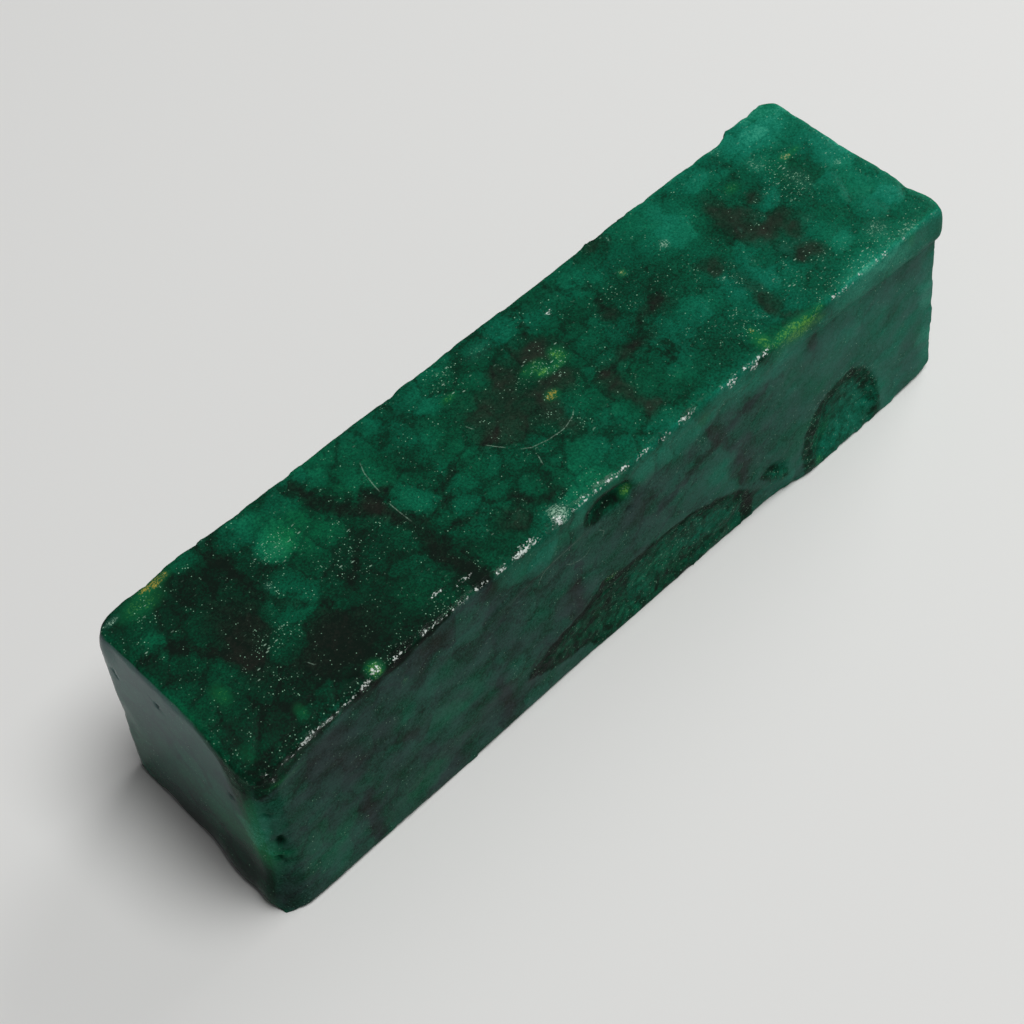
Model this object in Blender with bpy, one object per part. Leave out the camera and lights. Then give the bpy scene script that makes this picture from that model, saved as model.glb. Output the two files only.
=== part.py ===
"""A sawn bar of raw emerald crystal: one solid stone that lies on its flat underside.

Metres, +Z up. X runs along the bar, the front side faces -Y and the near end faces -X.
The origin is under the middle of the bar, on the surface it lies on.
"""
import math

import bmesh
import bpy
from mathutils import Matrix, Vector

# Driving dimensions, in millimetres
LENGTH = 75.3
WIDTH = 19.9
HEIGHT = 20.5
SIDE_LEAN = 0.55         # the front side leans in by this much from foot to top
NEAR_END_SKEW = 0.45     # the saw cut of the near end runs out of square across the width
FAR_END_SKEW = 0.25
BACK_STEP = 0.65         # the last stretch of the back side stands proud by this much at the top
BACK_FOOT_SINK = 0.1     # and by this much at the foot
BACK_STEP_START = 31.6
LIP_DEPTH = 0.5          # the front side is sawn back under a lip at the far end
LIP_FOOT_FAR = 16.8      # height of the lip's lower edge at the far end
LIP_SLOPE = 0.07         # the lower edge climbs this much per millimetre towards the near end
LIP_FADE_X = 2.0         # where the lip has faded into the front side

# Edge roundings, in millimetres
CRISP_EDGE = 0.3
WORN_TOP_EDGE = 0.55     # the rounded stretch of the top front edge
WORN_TOP_START = -13.0
NEAR_FRONT_UPRIGHT = 2.2
NEAR_BACK_UPRIGHT = 1.0
ROUNDING_SEGMENTS = 3

MM = 0.001
HALF_LENGTH = LENGTH / 2
HALF_WIDTH = WIDTH / 2
DISH_ROUNDNESS = 0.6     # 0 is a half ball, near 1 is a very flat lens
BALL_SUBDIVISIONS = 4
OVERSHOOT = 4.0          # how far a cutter reaches past the stone
STEP_SLANT = 1.0         # the back step's face runs out of upright by this much
FLAT_ANGLE = math.radians(12)    # an edge flatter than this is left as it is
MOSTLY = 0.8             # an edge runs along an axis when this share of it does


def clear_scene():
    """Remove every object that the new file starts with."""
    for item in list(bpy.data.objects):
        bpy.data.objects.remove(item)


# Saw cuts that made the bar: a point on each cut, and the way it faces
SAW_CUTS = (
    ("underside", (0, 0, 0), (0, 0, -1)),
    ("top", (0, 0, HEIGHT), (0, 0, 1)),
    ("front side", (0, -HALF_WIDTH, 0), (0, -HEIGHT, SIDE_LEAN)),
    ("back side", (0, HALF_WIDTH, 0), (0, 1, 0)),
    ("near end", (-HALF_LENGTH, -HALF_WIDTH, 0), (-WIDTH, NEAR_END_SKEW, 0)),
    ("far end", (HALF_LENGTH, -HALF_WIDTH, 0), (WIDTH, FAR_END_SKEW, 0)),
)

# Corners broken or worn off: which corner (end, side, 1 for the top or 0 for the foot), and how
# far the flat facet reaches from it along X, Y and Z, in millimetres
CORNER_FACETS = (
    ("near front top, gentle slope", (-1, -1, 1), (12.6, 6.2, 1.4)),
    ("near front top, steep slope", (-1, -1, 1), (4.0, 3.0, 2.9)),
    ("near back top", (-1, 1, 1), (2.2, 1.45, 4.5)),
    ("far front foot", (1, -1, 0), (1.4, 1.2, 1.8)),
    ("far back top", (1, 1, 1), (1.2, 1.0, 1.6)),
)

# Dish-shaped chips: side, place along the side, height, half sizes, depth and turn in degrees
CHIPS = (
    ("foot_hollow", "front", -5.0, 0.6, 24.0, 7.5, 0.55, 0.0),
    ("long_flake_scar", "front", 1.8, 3.7, 13.2, 5.3, 0.95, 2.0),
    ("foot_facet", "front", 16.2, 0.9, 6.6, 2.6, 0.85, -27.0),
    ("round_chip", "front", 26.5, 3.8, 5.0, 6.1, 1.00, 0.0),
    ("almond_pit", "front", 17.7, 4.4, 2.3, 0.85, 0.70, -38.0),
    ("edge_pit", "front", -1.3, 18.0, 2.7, 1.15, 0.85, -4.0),
    ("back_scar", "back", -14.0, 2.4, 9.0, 4.2, 0.80, -4.0),
    ("back_chip", "back", 17.0, 18.6, 3.4, 2.3, 0.70, 10.0),
    ("near_foot_nick", "near", 5.3, 0.1, 1.3, 0.7, 0.50, 5.0),
    ("near_foot_nick_small", "near", 0.4, 0.1, 1.0, 0.5, 0.40, -5.0),
    ("far_end_chip", "far", 3.0, 2.2, 3.6, 3.2, 0.70, 12.0),
)


def slice_off(mesh, point, outward):
    """Cut away what lies outside a plane and close the cut."""
    everything = mesh.verts[:] + mesh.edges[:] + mesh.faces[:]
    place = Vector(point) * MM
    facing = Vector(outward).normalized()
    cut = bmesh.ops.bisect_plane(mesh, geom=everything, plane_co=place, plane_no=facing, clear_outer=True)
    rim = [item for item in cut["geom_cut"] if isinstance(item, bmesh.types.BMEdge)]
    bmesh.ops.holes_fill(mesh, edges=rim)


def block_corner(end, side, level):
    """Where three saw cuts meet, in millimetres: end and side are -1 or 1, level is 0 or 1."""
    skew = 0.0
    if side > 0:
        skew = NEAR_END_SKEW if end < 0 else FAR_END_SKEW
    lean = SIDE_LEAN * level if side < 0 else 0.0
    return Vector((end * (HALF_LENGTH - skew), side * (HALF_WIDTH - lean), HEIGHT * level))


def cut_corner(mesh, corner, reach):
    """Slice a corner off along the plane that reaches a given way along each of its edges."""
    inward = Vector((-corner[0], -corner[1], 1 - 2 * corner[2]))
    tip = block_corner(*corner)
    first = tip + Vector((inward.x * reach[0], 0, 0))
    outward = Vector([-way / length for way, length in zip(inward, reach)])
    slice_off(mesh, first, outward)


def sawn_block():
    """Saw the bar out of a larger lump and break its worn corners off."""
    mesh = bmesh.new()
    bmesh.ops.create_cube(mesh, size=2 * LENGTH * MM)
    for _name, point, outward in SAW_CUTS:
        slice_off(mesh, point, outward)
    for _name, corner, reach in CORNER_FACETS:
        cut_corner(mesh, corner, reach)
    start = (WORN_TOP_START * MM, 0, 0)
    everything = mesh.verts[:] + mesh.edges[:] + mesh.faces[:]
    bmesh.ops.bisect_plane(mesh, geom=everything, plane_co=start, plane_no=(1, 0, 0))
    bmesh.ops.recalc_face_normals(mesh, faces=mesh.faces)
    return mesh


def rounding_of(edge):
    """How round an edge is, in millimetres, from where it lies."""
    first, second = (vert.co / MM for vert in edge.verts)
    middle = (first + second) / 2
    run = (second - first).normalized()
    if edge.calc_face_angle() < FLAT_ANGLE:
        return 0.0
    if abs(run.z) > MOSTLY and middle.x < 0:
        return NEAR_FRONT_UPRIGHT if middle.y < 0 else NEAR_BACK_UPRIGHT
    on_top_front = middle.z > HEIGHT / 2 and middle.y < 0
    if abs(run.x) > MOSTLY and on_top_front and middle.x > WORN_TOP_START:
        return WORN_TOP_EDGE
    return CRISP_EDGE


def set_roundings(mesh):
    """Store each edge's rounding as a share of the widest one."""
    weight = mesh.edges.layers.float.new("bevel_weight_edge")
    for edge in mesh.edges:
        edge[weight] = rounding_of(edge) / NEAR_FRONT_UPRIGHT


def make_stone():
    """Make the stone's object, without its chips."""
    mesh = sawn_block()
    set_roundings(mesh)
    data = bpy.data.meshes.new("emerald_bar")
    mesh.to_mesh(data)
    mesh.free()
    stone = bpy.data.objects.new("emerald_bar", data)
    bpy.context.collection.objects.link(stone)
    rounding = stone.modifiers.new("edge wear", "BEVEL")
    rounding.limit_method = "WEIGHT"
    rounding.width = NEAR_FRONT_UPRIGHT * MM
    rounding.segments = ROUNDING_SEGMENTS
    rounding.use_clamp_overlap = True
    return stone


def cutter_object(name, mesh):
    """Link a cutter that shows as wire and is left out of the model."""
    data = bpy.data.meshes.new(name)
    mesh.to_mesh(data)
    mesh.free()
    cutter = bpy.data.objects.new(name, data)
    bpy.context.collection.objects.link(cutter)
    cutter.display_type = "WIRE"
    cutter.hide_render = True
    return cutter


def side_frame(side, along, height):
    """Place and turn of a flat patch on one side of the bar, with its local Y pointing out."""
    rise = height / HEIGHT
    if side == "front":
        outward = HALF_WIDTH - SIDE_LEAN * rise
        return Matrix.Translation((along * MM, -outward * MM, height * MM)) @ Matrix.Rotation(math.pi, 4, "Z")
    if side == "back":
        outward = HALF_WIDTH - BACK_STEP * rise
        return Matrix.Translation((along * MM, outward * MM, height * MM))
    if side == "near":
        inward = NEAR_END_SKEW * (along / WIDTH + 0.5)
        place = Matrix.Translation(((inward - HALF_LENGTH) * MM, along * MM, height * MM))
        return place @ Matrix.Rotation(math.pi / 2, 4, "Z")
    inward = FAR_END_SKEW * (along / WIDTH + 0.5)
    place = Matrix.Translation(((HALF_LENGTH - inward) * MM, along * MM, height * MM))
    return place @ Matrix.Rotation(-math.pi / 2, 4, "Z")


def dish_cutter(name, side, along, height, half_long, half_high, depth, turn):
    """Make the flattened ball whose cap is the chip: its mouth and depth are as given."""
    mouth_share = math.sqrt(1 - DISH_ROUNDNESS ** 2)
    thickness = depth / (1 - DISH_ROUNDNESS)
    radii = Vector((half_long / mouth_share, thickness, half_high / mouth_share)) * MM
    mesh = bmesh.new()
    bmesh.ops.create_icosphere(mesh, subdivisions=BALL_SUBDIVISIONS, radius=1.0)
    placing = (
        side_frame(side, along, height)
        @ Matrix.Rotation(math.radians(turn), 4, "Y")
        @ Matrix.Translation((0, thickness * DISH_ROUNDNESS * MM, 0))
        @ Matrix.Diagonal((*radii, 1.0))
    )
    bmesh.ops.transform(mesh, matrix=placing, verts=mesh.verts)
    return cutter_object(name, mesh)


def lofted_cutter(name, first_loop, second_loop):
    """Join two four-sided loops of points, in millimetres, into a closed cutter."""
    mesh = bmesh.new()
    loops = (first_loop, second_loop)
    near, far = ([mesh.verts.new(Vector(point) * MM) for point in loop] for loop in loops)
    mesh.faces.new(near)
    mesh.faces.new(far[::-1])
    for index in range(4):
        following = (index + 1) % 4
        mesh.faces.new((near[following], near[index], far[index], far[following]))
    bmesh.ops.recalc_face_normals(mesh, faces=mesh.faces)
    return cutter_object(name, mesh)


def lip_section(x):
    """Section of the wedge that the second saw cut took from the front side, under the lip."""
    sink = LIP_DEPTH * (x - LIP_FADE_X) / (HALF_LENGTH - LIP_FADE_X)
    lean = SIDE_LEAN / HEIGHT
    outside = -HALF_WIDTH - OVERSHOOT
    top = LIP_FOOT_FAR + LIP_SLOPE * (HALF_LENGTH - x)
    foot_y = -HALF_WIDTH + sink - lean * OVERSHOOT
    top_y = -HALF_WIDTH + sink + lean * top
    return (x, outside, -OVERSHOOT), (x, foot_y, -OVERSHOOT), (x, top_y, top), (x, outside, top)


def lip_cutter():
    """Make the wedge that leaves a lip along the far half of the front side."""
    near = lip_section(LIP_FADE_X - OVERSHOOT)
    return lofted_cutter("lip_cut", near, lip_section(HALF_LENGTH + OVERSHOOT))


def back_section(x, top_shift):
    """Section of the slab that the saw took from the back side, up to the stub at its far end."""
    outside = HALF_WIDTH + OVERSHOOT
    lean = (BACK_STEP - BACK_FOOT_SINK) / HEIGHT
    foot_y = HALF_WIDTH - BACK_FOOT_SINK + lean * OVERSHOOT
    top_y = HALF_WIDTH - BACK_STEP - lean * OVERSHOOT
    top = HEIGHT + OVERSHOOT
    top_x = x + top_shift
    return (x, outside, -OVERSHOOT), (x, foot_y, -OVERSHOOT), (top_x, top_y, top), (top_x, outside, top)


def back_cutter():
    """Make the slab that sinks the back side behind its stub."""
    near = back_section(-HALF_LENGTH - OVERSHOOT, 0.0)
    far = back_section(BACK_STEP_START + STEP_SLANT, -STEP_SLANT)
    return lofted_cutter("back_cut", near, far)


def cut_away(stone, cutter):
    """Take a cutter's shape out of the stone."""
    cut = stone.modifiers.new(cutter.name, "BOOLEAN")
    cut.operation = "DIFFERENCE"
    cut.solver = "EXACT"
    cut.object = cutter


def emerald_material():
    """Dark green crystalline stone with a satin, waxed surface."""
    material = bpy.data.materials.new("emerald_stone")
    material.use_nodes = True
    surface = material.node_tree.nodes["Principled BSDF"]
    surface.inputs["Base Color"].default_value = (0.010, 0.075, 0.045, 1.0)
    surface.inputs["Roughness"].default_value = 0.35
    surface.inputs["Metallic"].default_value = 0.0
    surface.inputs["IOR"].default_value = 1.58
    material.diffuse_color = (0.02, 0.16, 0.10, 1.0)
    return material


def main():
    clear_scene()
    stone = make_stone()
    cut_away(stone, lip_cutter())
    cut_away(stone, back_cutter())
    for chip in CHIPS:
        cut_away(stone, dish_cutter(*chip))
    stone.data.materials.append(emerald_material())


main()
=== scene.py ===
"""Looks of a sawn bar of raw emerald crystal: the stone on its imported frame, and its stage.

Lengths in the lists below are millimetres in the frame's axes: X runs along the bar, the front
side faces -Y, the near end faces -X, and the bar lies on the paper at Z = 0.
"""
import math

import bpy
import numpy as np
from mathutils import Matrix, Vector, kdtree, noise


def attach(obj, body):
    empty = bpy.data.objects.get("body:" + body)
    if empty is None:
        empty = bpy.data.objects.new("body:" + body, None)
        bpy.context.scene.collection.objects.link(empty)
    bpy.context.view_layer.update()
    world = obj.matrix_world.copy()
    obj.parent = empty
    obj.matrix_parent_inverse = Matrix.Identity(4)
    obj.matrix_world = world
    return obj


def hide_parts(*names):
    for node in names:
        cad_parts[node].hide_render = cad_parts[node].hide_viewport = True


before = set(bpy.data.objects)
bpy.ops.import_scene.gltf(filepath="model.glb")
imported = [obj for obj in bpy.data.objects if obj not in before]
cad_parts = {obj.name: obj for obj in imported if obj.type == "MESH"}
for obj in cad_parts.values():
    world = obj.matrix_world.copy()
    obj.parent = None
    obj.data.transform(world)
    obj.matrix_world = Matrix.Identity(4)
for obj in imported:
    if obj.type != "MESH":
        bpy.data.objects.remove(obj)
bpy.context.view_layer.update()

bl_info = {
    "name": "Raw Emerald Bar",
    "version": (1, 0, 0),
    "blender": (4, 5, 0),
    "location": "View3D > Sidebar > Emerald",
    "description": "Builds a sawn and waxed bar of raw emerald crystal and the stage it lies on",
    "category": "Object",
}

MM = 0.001
HALF_LENGTH = 37.65
HALF_WIDTH = 9.95
HEIGHT = 20.5
FRONT_LEAN = 0.55        # the front side leans in by this much from foot to top
BACK_LEAN = 0.65

# ---------------------------------------------------------------- tones of the stone's body
# Each zone: tone, place (two of the surface's own axes), half widths, strength.
# light: clearer, brighter crystal; dark: cloudy, black-green; brown: biotite-brown; green: warmer hue; a few light and
# dark zones are painted light and shade, as marked below

TOP_ZONES = (
    ("light", -23.0, 4.4, 1.9, 1.5, 0.52), ("light", -24.2, 7.8, 2.4, 1.5, 0.42),
    ("light", -28.7, 8.8, 1.6, 0.8, 0.40), ("light", -16.3, 7.8, 1.9, 1.4, 0.34),
    ("light", -9.8, 8.0, 2.2, 1.1, 0.34), ("light", -2.5, 8.5, 2.4, 0.9, 0.38),
    ("light", -35.3, 4.0, 0.8, 1.9, 0.36), ("light", -20.0, 2.8, 2.6, 1.7, 0.30),
    ("light", -12.6, 0.8, 1.5, 2.1, 0.26), ("light", -8.2, 3.6, 1.4, 1.4, 0.28),
    ("light", -7.7, 0.8, 1.3, 1.0, 0.24), ("light", -25.0, 0.3, 1.9, 1.9, 0.18),
    ("light", -11.3, -3.0, 1.8, 1.2, 0.20), ("light", -18.5, -6.0, 1.6, 1.6, 0.22),
    ("light", -3.5, -8.2, 3.8, 1.3, 0.34), ("light", -12.5, -8.3, 1.4, 1.1, 0.22),
    ("light", -1.0, -6.8, 2.2, 1.1, 0.26), ("light", -14.0, 4.6, 1.6, 1.6, 0.26),
    ("light", -5.8, 6.8, 1.6, 1.6, 0.28), ("light", 4.5, 7.2, 3.7, 1.7, 0.32),
    ("light", 11.5, 6.5, 2.8, 1.9, 0.30), ("light", 20.5, 5.5, 3.0, 3.1, 0.34),
    ("light", 26.3, 7.3, 2.1, 1.4, 0.34), ("light", 33.5, 8.0, 4.2, 1.8, 0.44),
    ("light", 36.2, 2.0, 1.4, 2.6, 0.36), ("light", 29.0, 1.5, 1.1, 1.0, 0.30),
    ("light", 35.0, -3.5, 2.3, 4.0, 0.34), ("light", 29.4, -5.8, 1.1, 0.9, 0.28),
    ("light", 15.0, -2.5, 2.6, 1.9, 0.20), ("light", 11.0, -5.6, 1.7, 1.4, 0.22),
    ("light", 2.5, -2.3, 1.4, 1.0, 0.22), ("light", 4.0, -5.0, 1.4, 1.3, 0.18),
    ("light", 8.3, 2.8, 1.7, 1.3, 0.20), ("light", 31.0, -9.0, 6.5, 1.2, 0.38),
    ("light", 12.0, -9.0, 4.5, 1.0, 0.26), ("light", 18.5, -2.8, 1.3, 1.3, 0.16),
    ("brown", -29.5, 1.2, 2.4, 2.7, 0.38), ("brown", -26.0, -5.2, 3.6, 2.2, 0.34),
    ("brown", -31.3, -1.8, 1.2, 2.4, 0.34), ("light", -22.3, 6.2, 3.6, 2.6, 0.26),
    ("light", -35.9, -7.6, 1.2, 1.1, 0.42), ("dark", -29.3, 6.4, 2.0, 1.7, 0.36), ("dark", -29.5, 1.2, 2.8, 3.0, 0.30),
    ("dark", -31.3, -1.8, 1.4, 2.6, 0.42), ("dark", -25.5, -5.5, 4.4, 2.7, 0.38),
    ("dark", -31.5, -6.5, 2.7, 2.7, 0.40), ("dark", -36.5, 3.6, 0.7, 1.0, 0.40),
    ("brown", -15.2, 1.6, 1.1, 1.3, 0.55), ("brown", -8.7, -6.8, 2.1, 1.4, 0.50),
    ("brown", -2.5, 1.2, 2.8, 3.4, 0.55), ("dark", -10.5, 3.5, 1.0, 1.6, 0.28),
    ("dark", -21.0, -8.2, 3.4, 0.9, 0.40), ("brown", 3.7, 4.2, 1.5, 1.2, 0.75),
    ("brown", 2.5, 0.7, 2.2, 1.4, 0.70), ("brown", 0.5, -1.7, 1.2, 2.6, 0.60),
    ("brown", 5.9, -4.0, 0.9, 3.8, 0.60), ("brown", 6.5, -7.0, 1.7, 0.8, 0.55),
    ("brown", 10.7, 2.5, 0.8, 0.7, 0.60), ("brown", 20.1, -0.2, 1.1, 1.0, 0.75),
    ("brown", 20.5, -5.0, 0.9, 2.8, 0.72), ("brown", 10.0, -1.3, 3.2, 0.7, 0.45),
    ("brown", 13.4, 0.4, 1.6, 0.6, 0.50), ("brown", 25.0, 2.5, 1.5, 3.4, 0.75),
    ("brown", 26.5, -0.7, 2.2, 1.0, 0.75), ("brown", 27.6, -2.5, 1.1, 0.8, 0.80),
    ("brown", 26.0, -4.4, 1.3, 0.9, 0.80), ("brown", 28.1, 2.9, 1.0, 0.8, 0.70),
    ("dark", 30.8, -5.8, 0.7, 0.7, 0.45), ("dark", 15.8, 1.5, 2.2, 1.1, 0.24),
    ("dark", 23.0, 1.5, 1.4, 1.7, 0.24), ("brown", 15.0, 8.9, 1.6, 0.7, 0.50),
    ("dark", 29.0, 5.8, 1.4, 1.1, 0.26), ("brown", 21.5, -9.3, 1.3, 0.5, 0.80),
    ("brown", 0.0, 4.0, 1.2, 1.7, 0.60), ("green", -33.4, 7.6, 2.0, 1.6, 0.80),
    ("green", -20.0, 3.5, 4.0, 4.0, 0.40), ("green", -34.5, -2.5, 0.9, 1.2, 0.80),
    ("green", 3.0, 2.3, 2.8, 1.6, 0.60), ("green", 19.0, -8.8, 3.6, 0.9, 0.90),
    ("green", -35.8, -8.2, 1.2, 1.2, 0.80), ("green", -18.0, -7.5, 5.0, 2.0, 0.50),
    ("green", 32.0, 2.0, 1.5, 2.5, 0.40),
)

FRONT_ZONES = (
    ("light", -20.0, 13.9, 2.4, 1.7, 0.26), ("light", -32.5, 4.5, 3.3, 2.8, 0.24),
    ("light", -35.5, 16.0, 1.1, 2.0, 0.22), ("light", -18.7, 9.4, 2.5, 1.7, 0.24),
    ("light", -23.0, 3.2, 3.3, 1.9, 0.20), ("light", -12.3, 6.5, 2.0, 2.3, 0.22),
    ("light", -10.0, 12.0, 2.2, 1.4, 0.18), ("light", -16.5, 17.0, 2.2, 1.7, 0.22),
    # Painted light: the light zones high on the front side at X -8.7, 6.0, 16.0 and 31.0 lighten the rounded band
    # under the crest, where it catches the light from above
    ("light", -8.7, 18.8, 5.4, 1.4, 0.34), ("light", -24.0, 12.3, 1.4, 1.0, 0.22),
    ("light", -28.7, 18.2, 0.9, 1.2, 0.18), ("light", 6.0, 18.7, 8.6, 1.7, 0.32),
    ("light", 16.0, 17.6, 4.3, 1.6, 0.34), ("light", 31.0, 18.3, 7.6, 1.4, 0.26),
    ("light", 11.0, 10.4, 2.1, 2.1, 0.18), ("light", 36.7, 4.2, 1.1, 2.7, 0.26),
    ("light", 36.3, 12.0, 0.9, 4.2, 0.18), ("light", 25.5, 13.7, 3.2, 2.1, 0.12),
    ("dark", 25.2, 6.3, 2.4, 1.0, 0.45), ("dark", 22.9, 5.2, 1.0, 1.1, 0.35),
    ("dark", 28.6, 4.4, 0.8, 1.6, 0.35), ("green", 24.0, 3.4, 1.2, 1.2, 0.60), ("dark", 25.3, 1.0, 0.8, 1.0, 0.30),
    ("brown", 29.0, 1.2, 1.6, 0.9, 0.40), ("light", 5.0, 4.0, 6.0, 2.0, 0.14),
    ("brown", -31.0, 16.0, 2.1, 2.7, 0.60), ("brown", -29.2, 12.5, 1.9, 1.9, 0.60),
    ("dark", -32.0, 10.2, 2.4, 1.5, 0.24), ("brown", -23.2, 10.2, 1.0, 0.9, 0.65),
    ("brown", -20.5, 18.0, 3.0, 1.2, 0.60), ("brown", -14.2, 19.2, 0.8, 1.1, 0.60),
    ("brown", -28.5, 4.0, 0.9, 4.2, 0.45), ("brown", -13.7, 4.5, 0.9, 4.2, 0.50),
    ("brown", -20.0, 1.8, 1.7, 1.2, 0.50), ("brown", -5.8, 9.5, 1.3, 3.0, 0.50),
    ("brown", -12.7, 10.3, 1.1, 0.8, 0.50), ("brown", -25.5, 13.5, 1.0, 1.1, 0.45),
    ("dark", -16.5, 14.0, 2.2, 1.1, 0.20), ("dark", -7.3, 6.3, 2.1, 1.1, 0.24),
    ("brown", 10.2, 15.8, 0.7, 2.2, 0.55), ("brown", 22.0, 16.7, 0.9, 1.4, 0.65),
    ("brown", 13.5, 9.0, 1.5, 3.7, 0.40), ("brown", 1.5, 14.5, 2.2, 1.7, 0.40),
    ("brown", 33.8, 15.5, 2.2, 0.9, 0.45), ("brown", 32.3, 12.0, 1.3, 1.1, 0.40),
    ("brown", 14.5, 3.0, 0.8, 1.8, 0.60), ("dark", 16.3, 18.6, 0.7, 1.2, 0.22),
    ("dark", 18.5, 8.0, 1.7, 2.6, 0.16), ("brown", 0.0, 7.6, 4.0, 0.8, 0.45),
    ("green", -23.0, 4.0, 5.0, 3.0, 0.30), ("green", 36.0, 4.5, 1.5, 2.6, 0.30),
    ("green", 0.5, 3.5, 9.0, 3.5, 0.35), ("green", -34.5, 17.2, 1.8, 1.2, 0.50),
)

END_ZONES = (
    ("light", -8.2, 10.5, 1.6, 5.0, 0.50), ("dark", -9.4, 3.0, 1.4, 3.0, 0.25),
    ("light", 7.7, 4.5, 1.1, 2.8, 0.18), ("green", 7.8, 4.5, 1.1, 2.8, 0.35),
    # Painted shade: the dark zones at Y 1.0 and -6.0, low on the near end, darken it towards the bottom
    ("dark", 1.0, 3.0, 7.5, 5.5, 0.60), ("dark", -6.0, 3.0, 3.5, 3.5, 0.35), ("brown", -5.8, 14.0, 0.8, 1.6, 0.60),
    ("green", 9.0, 18.0, 1.5, 1.5, 0.40),
)

# Wide dark seams between the grains: half width, then the points they run through
TOP_VEINS = (
    (0.60, ((-18.7, 8.2), (-18.0, 6.0), (-17.3, 4.2), (-16.0, 2.7), (-14.8, 1.4), (-14.5, -2.5), (-14.3, -8.9))),
    (0.30, ((-34.5, 3.5), (-33.5, 2.0), (-32.5, 0.8), (-31.2, -1.5), (-30.5, -2.5))),
    (0.35, ((-16.6, 2.9), (-15.0, 3.2), (-13.2, 2.0))),
    (0.18, ((-14.2, -1.9), (-12.4, -1.9), (-10.3, -1.0), (-8.6, 0.2), (-6.0, -0.2), (-4.0, 0.5))),
    (0.16, ((-12.2, -4.2), (-9.4, -4.3), (-7.6, -4.9), (-6.2, -6.8), (-4.5, -7.3))),
    (0.20, ((5.7, -1.5), (8.2, -1.6), (10.5, -1.0), (12.0, 0.0), (14.0, 0.75), (15.0, 0.6))),
    (0.20, ((10.9, -1.2), (11.4, -3.0), (11.0, -4.4))),
    (0.16, ((9.3, 8.8), (9.8, 7.6), (11.2, 6.0), (11.6, 5.2), (10.9, 3.6))),
    (0.14, ((5.2, 8.8), (5.6, 7.4), (4.8, 6.0))),
    (0.18, ((-26.8, 2.6), (-26.0, 0.2), (-24.2, -1.8), (-21.4, -2.4), (-19.6, -0.6))),
    (0.16, ((-27.0, 9.2), (-26.9, 6.0), (-26.6, 3.0))),
)

FRONT_VEINS = (
    (0.35, ((3.7, 12.2), (6.8, 13.2), (10.0, 14.3), (13.8, 15.2), (17.5, 16.0))),
    (0.30, ((9.6, 17.4), (10.3, 15.6), (12.2, 12.6), (13.6, 9.5), (13.8, 6.0))),
    (0.30, ((-28.7, 8.2), (-28.5, 4.0), (-28.0, 0.8))),
    (0.30, ((-14.6, 8.0), (-13.8, 5.0), (-13.2, 0.8))),
    (0.25, ((-5.3, 13.5), (-5.6, 10.5), (-5.0, 8.3))),
)

# Thin pale scratches: which side they are on, and the points they run through
SCRATCHES = (
    ("top", ((-13.1, 6.1), (-13.6, 5.0), (-13.9, 3.5), (-14.0, 2.7))),
    ("top", ((-14.25, 1.5), (-14.3, 0.2), (-14.25, -1.3))),
    ("top", ((-4.0, -2.0), (-3.0, -2.75), (-1.7, -3.1), (0.0, -3.25), (1.2, -2.9), (2.1, -2.2))),
    ("top", ((-5.1, 2.5), (-4.9, 1.9))),
    ("top", ((-5.4, 0.2), (-4.9, -0.6), (-4.4, -1.3))),
    ("top", ((-3.2, -3.5), (-3.6, -4.6))),
    ("top", ((-28.2, -4.9), (-27.9, -5.6))),
    ("front", ((-9.5, 14.75), (-9.1, 15.6), (-8.75, 16.1), (-7.75, 16.5), (-5.8, 16.7), (-4.0, 16.75))),
    ("front", ((-6.5, 15.0), (-5.9, 14.4), (-5.0, 14.05), (-4.2, 14.1), (-3.75, 14.6))),
    ("front", ((-2.8, 15.8), (-2.2, 15.2), (-2.4, 14.7))),
)
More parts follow.
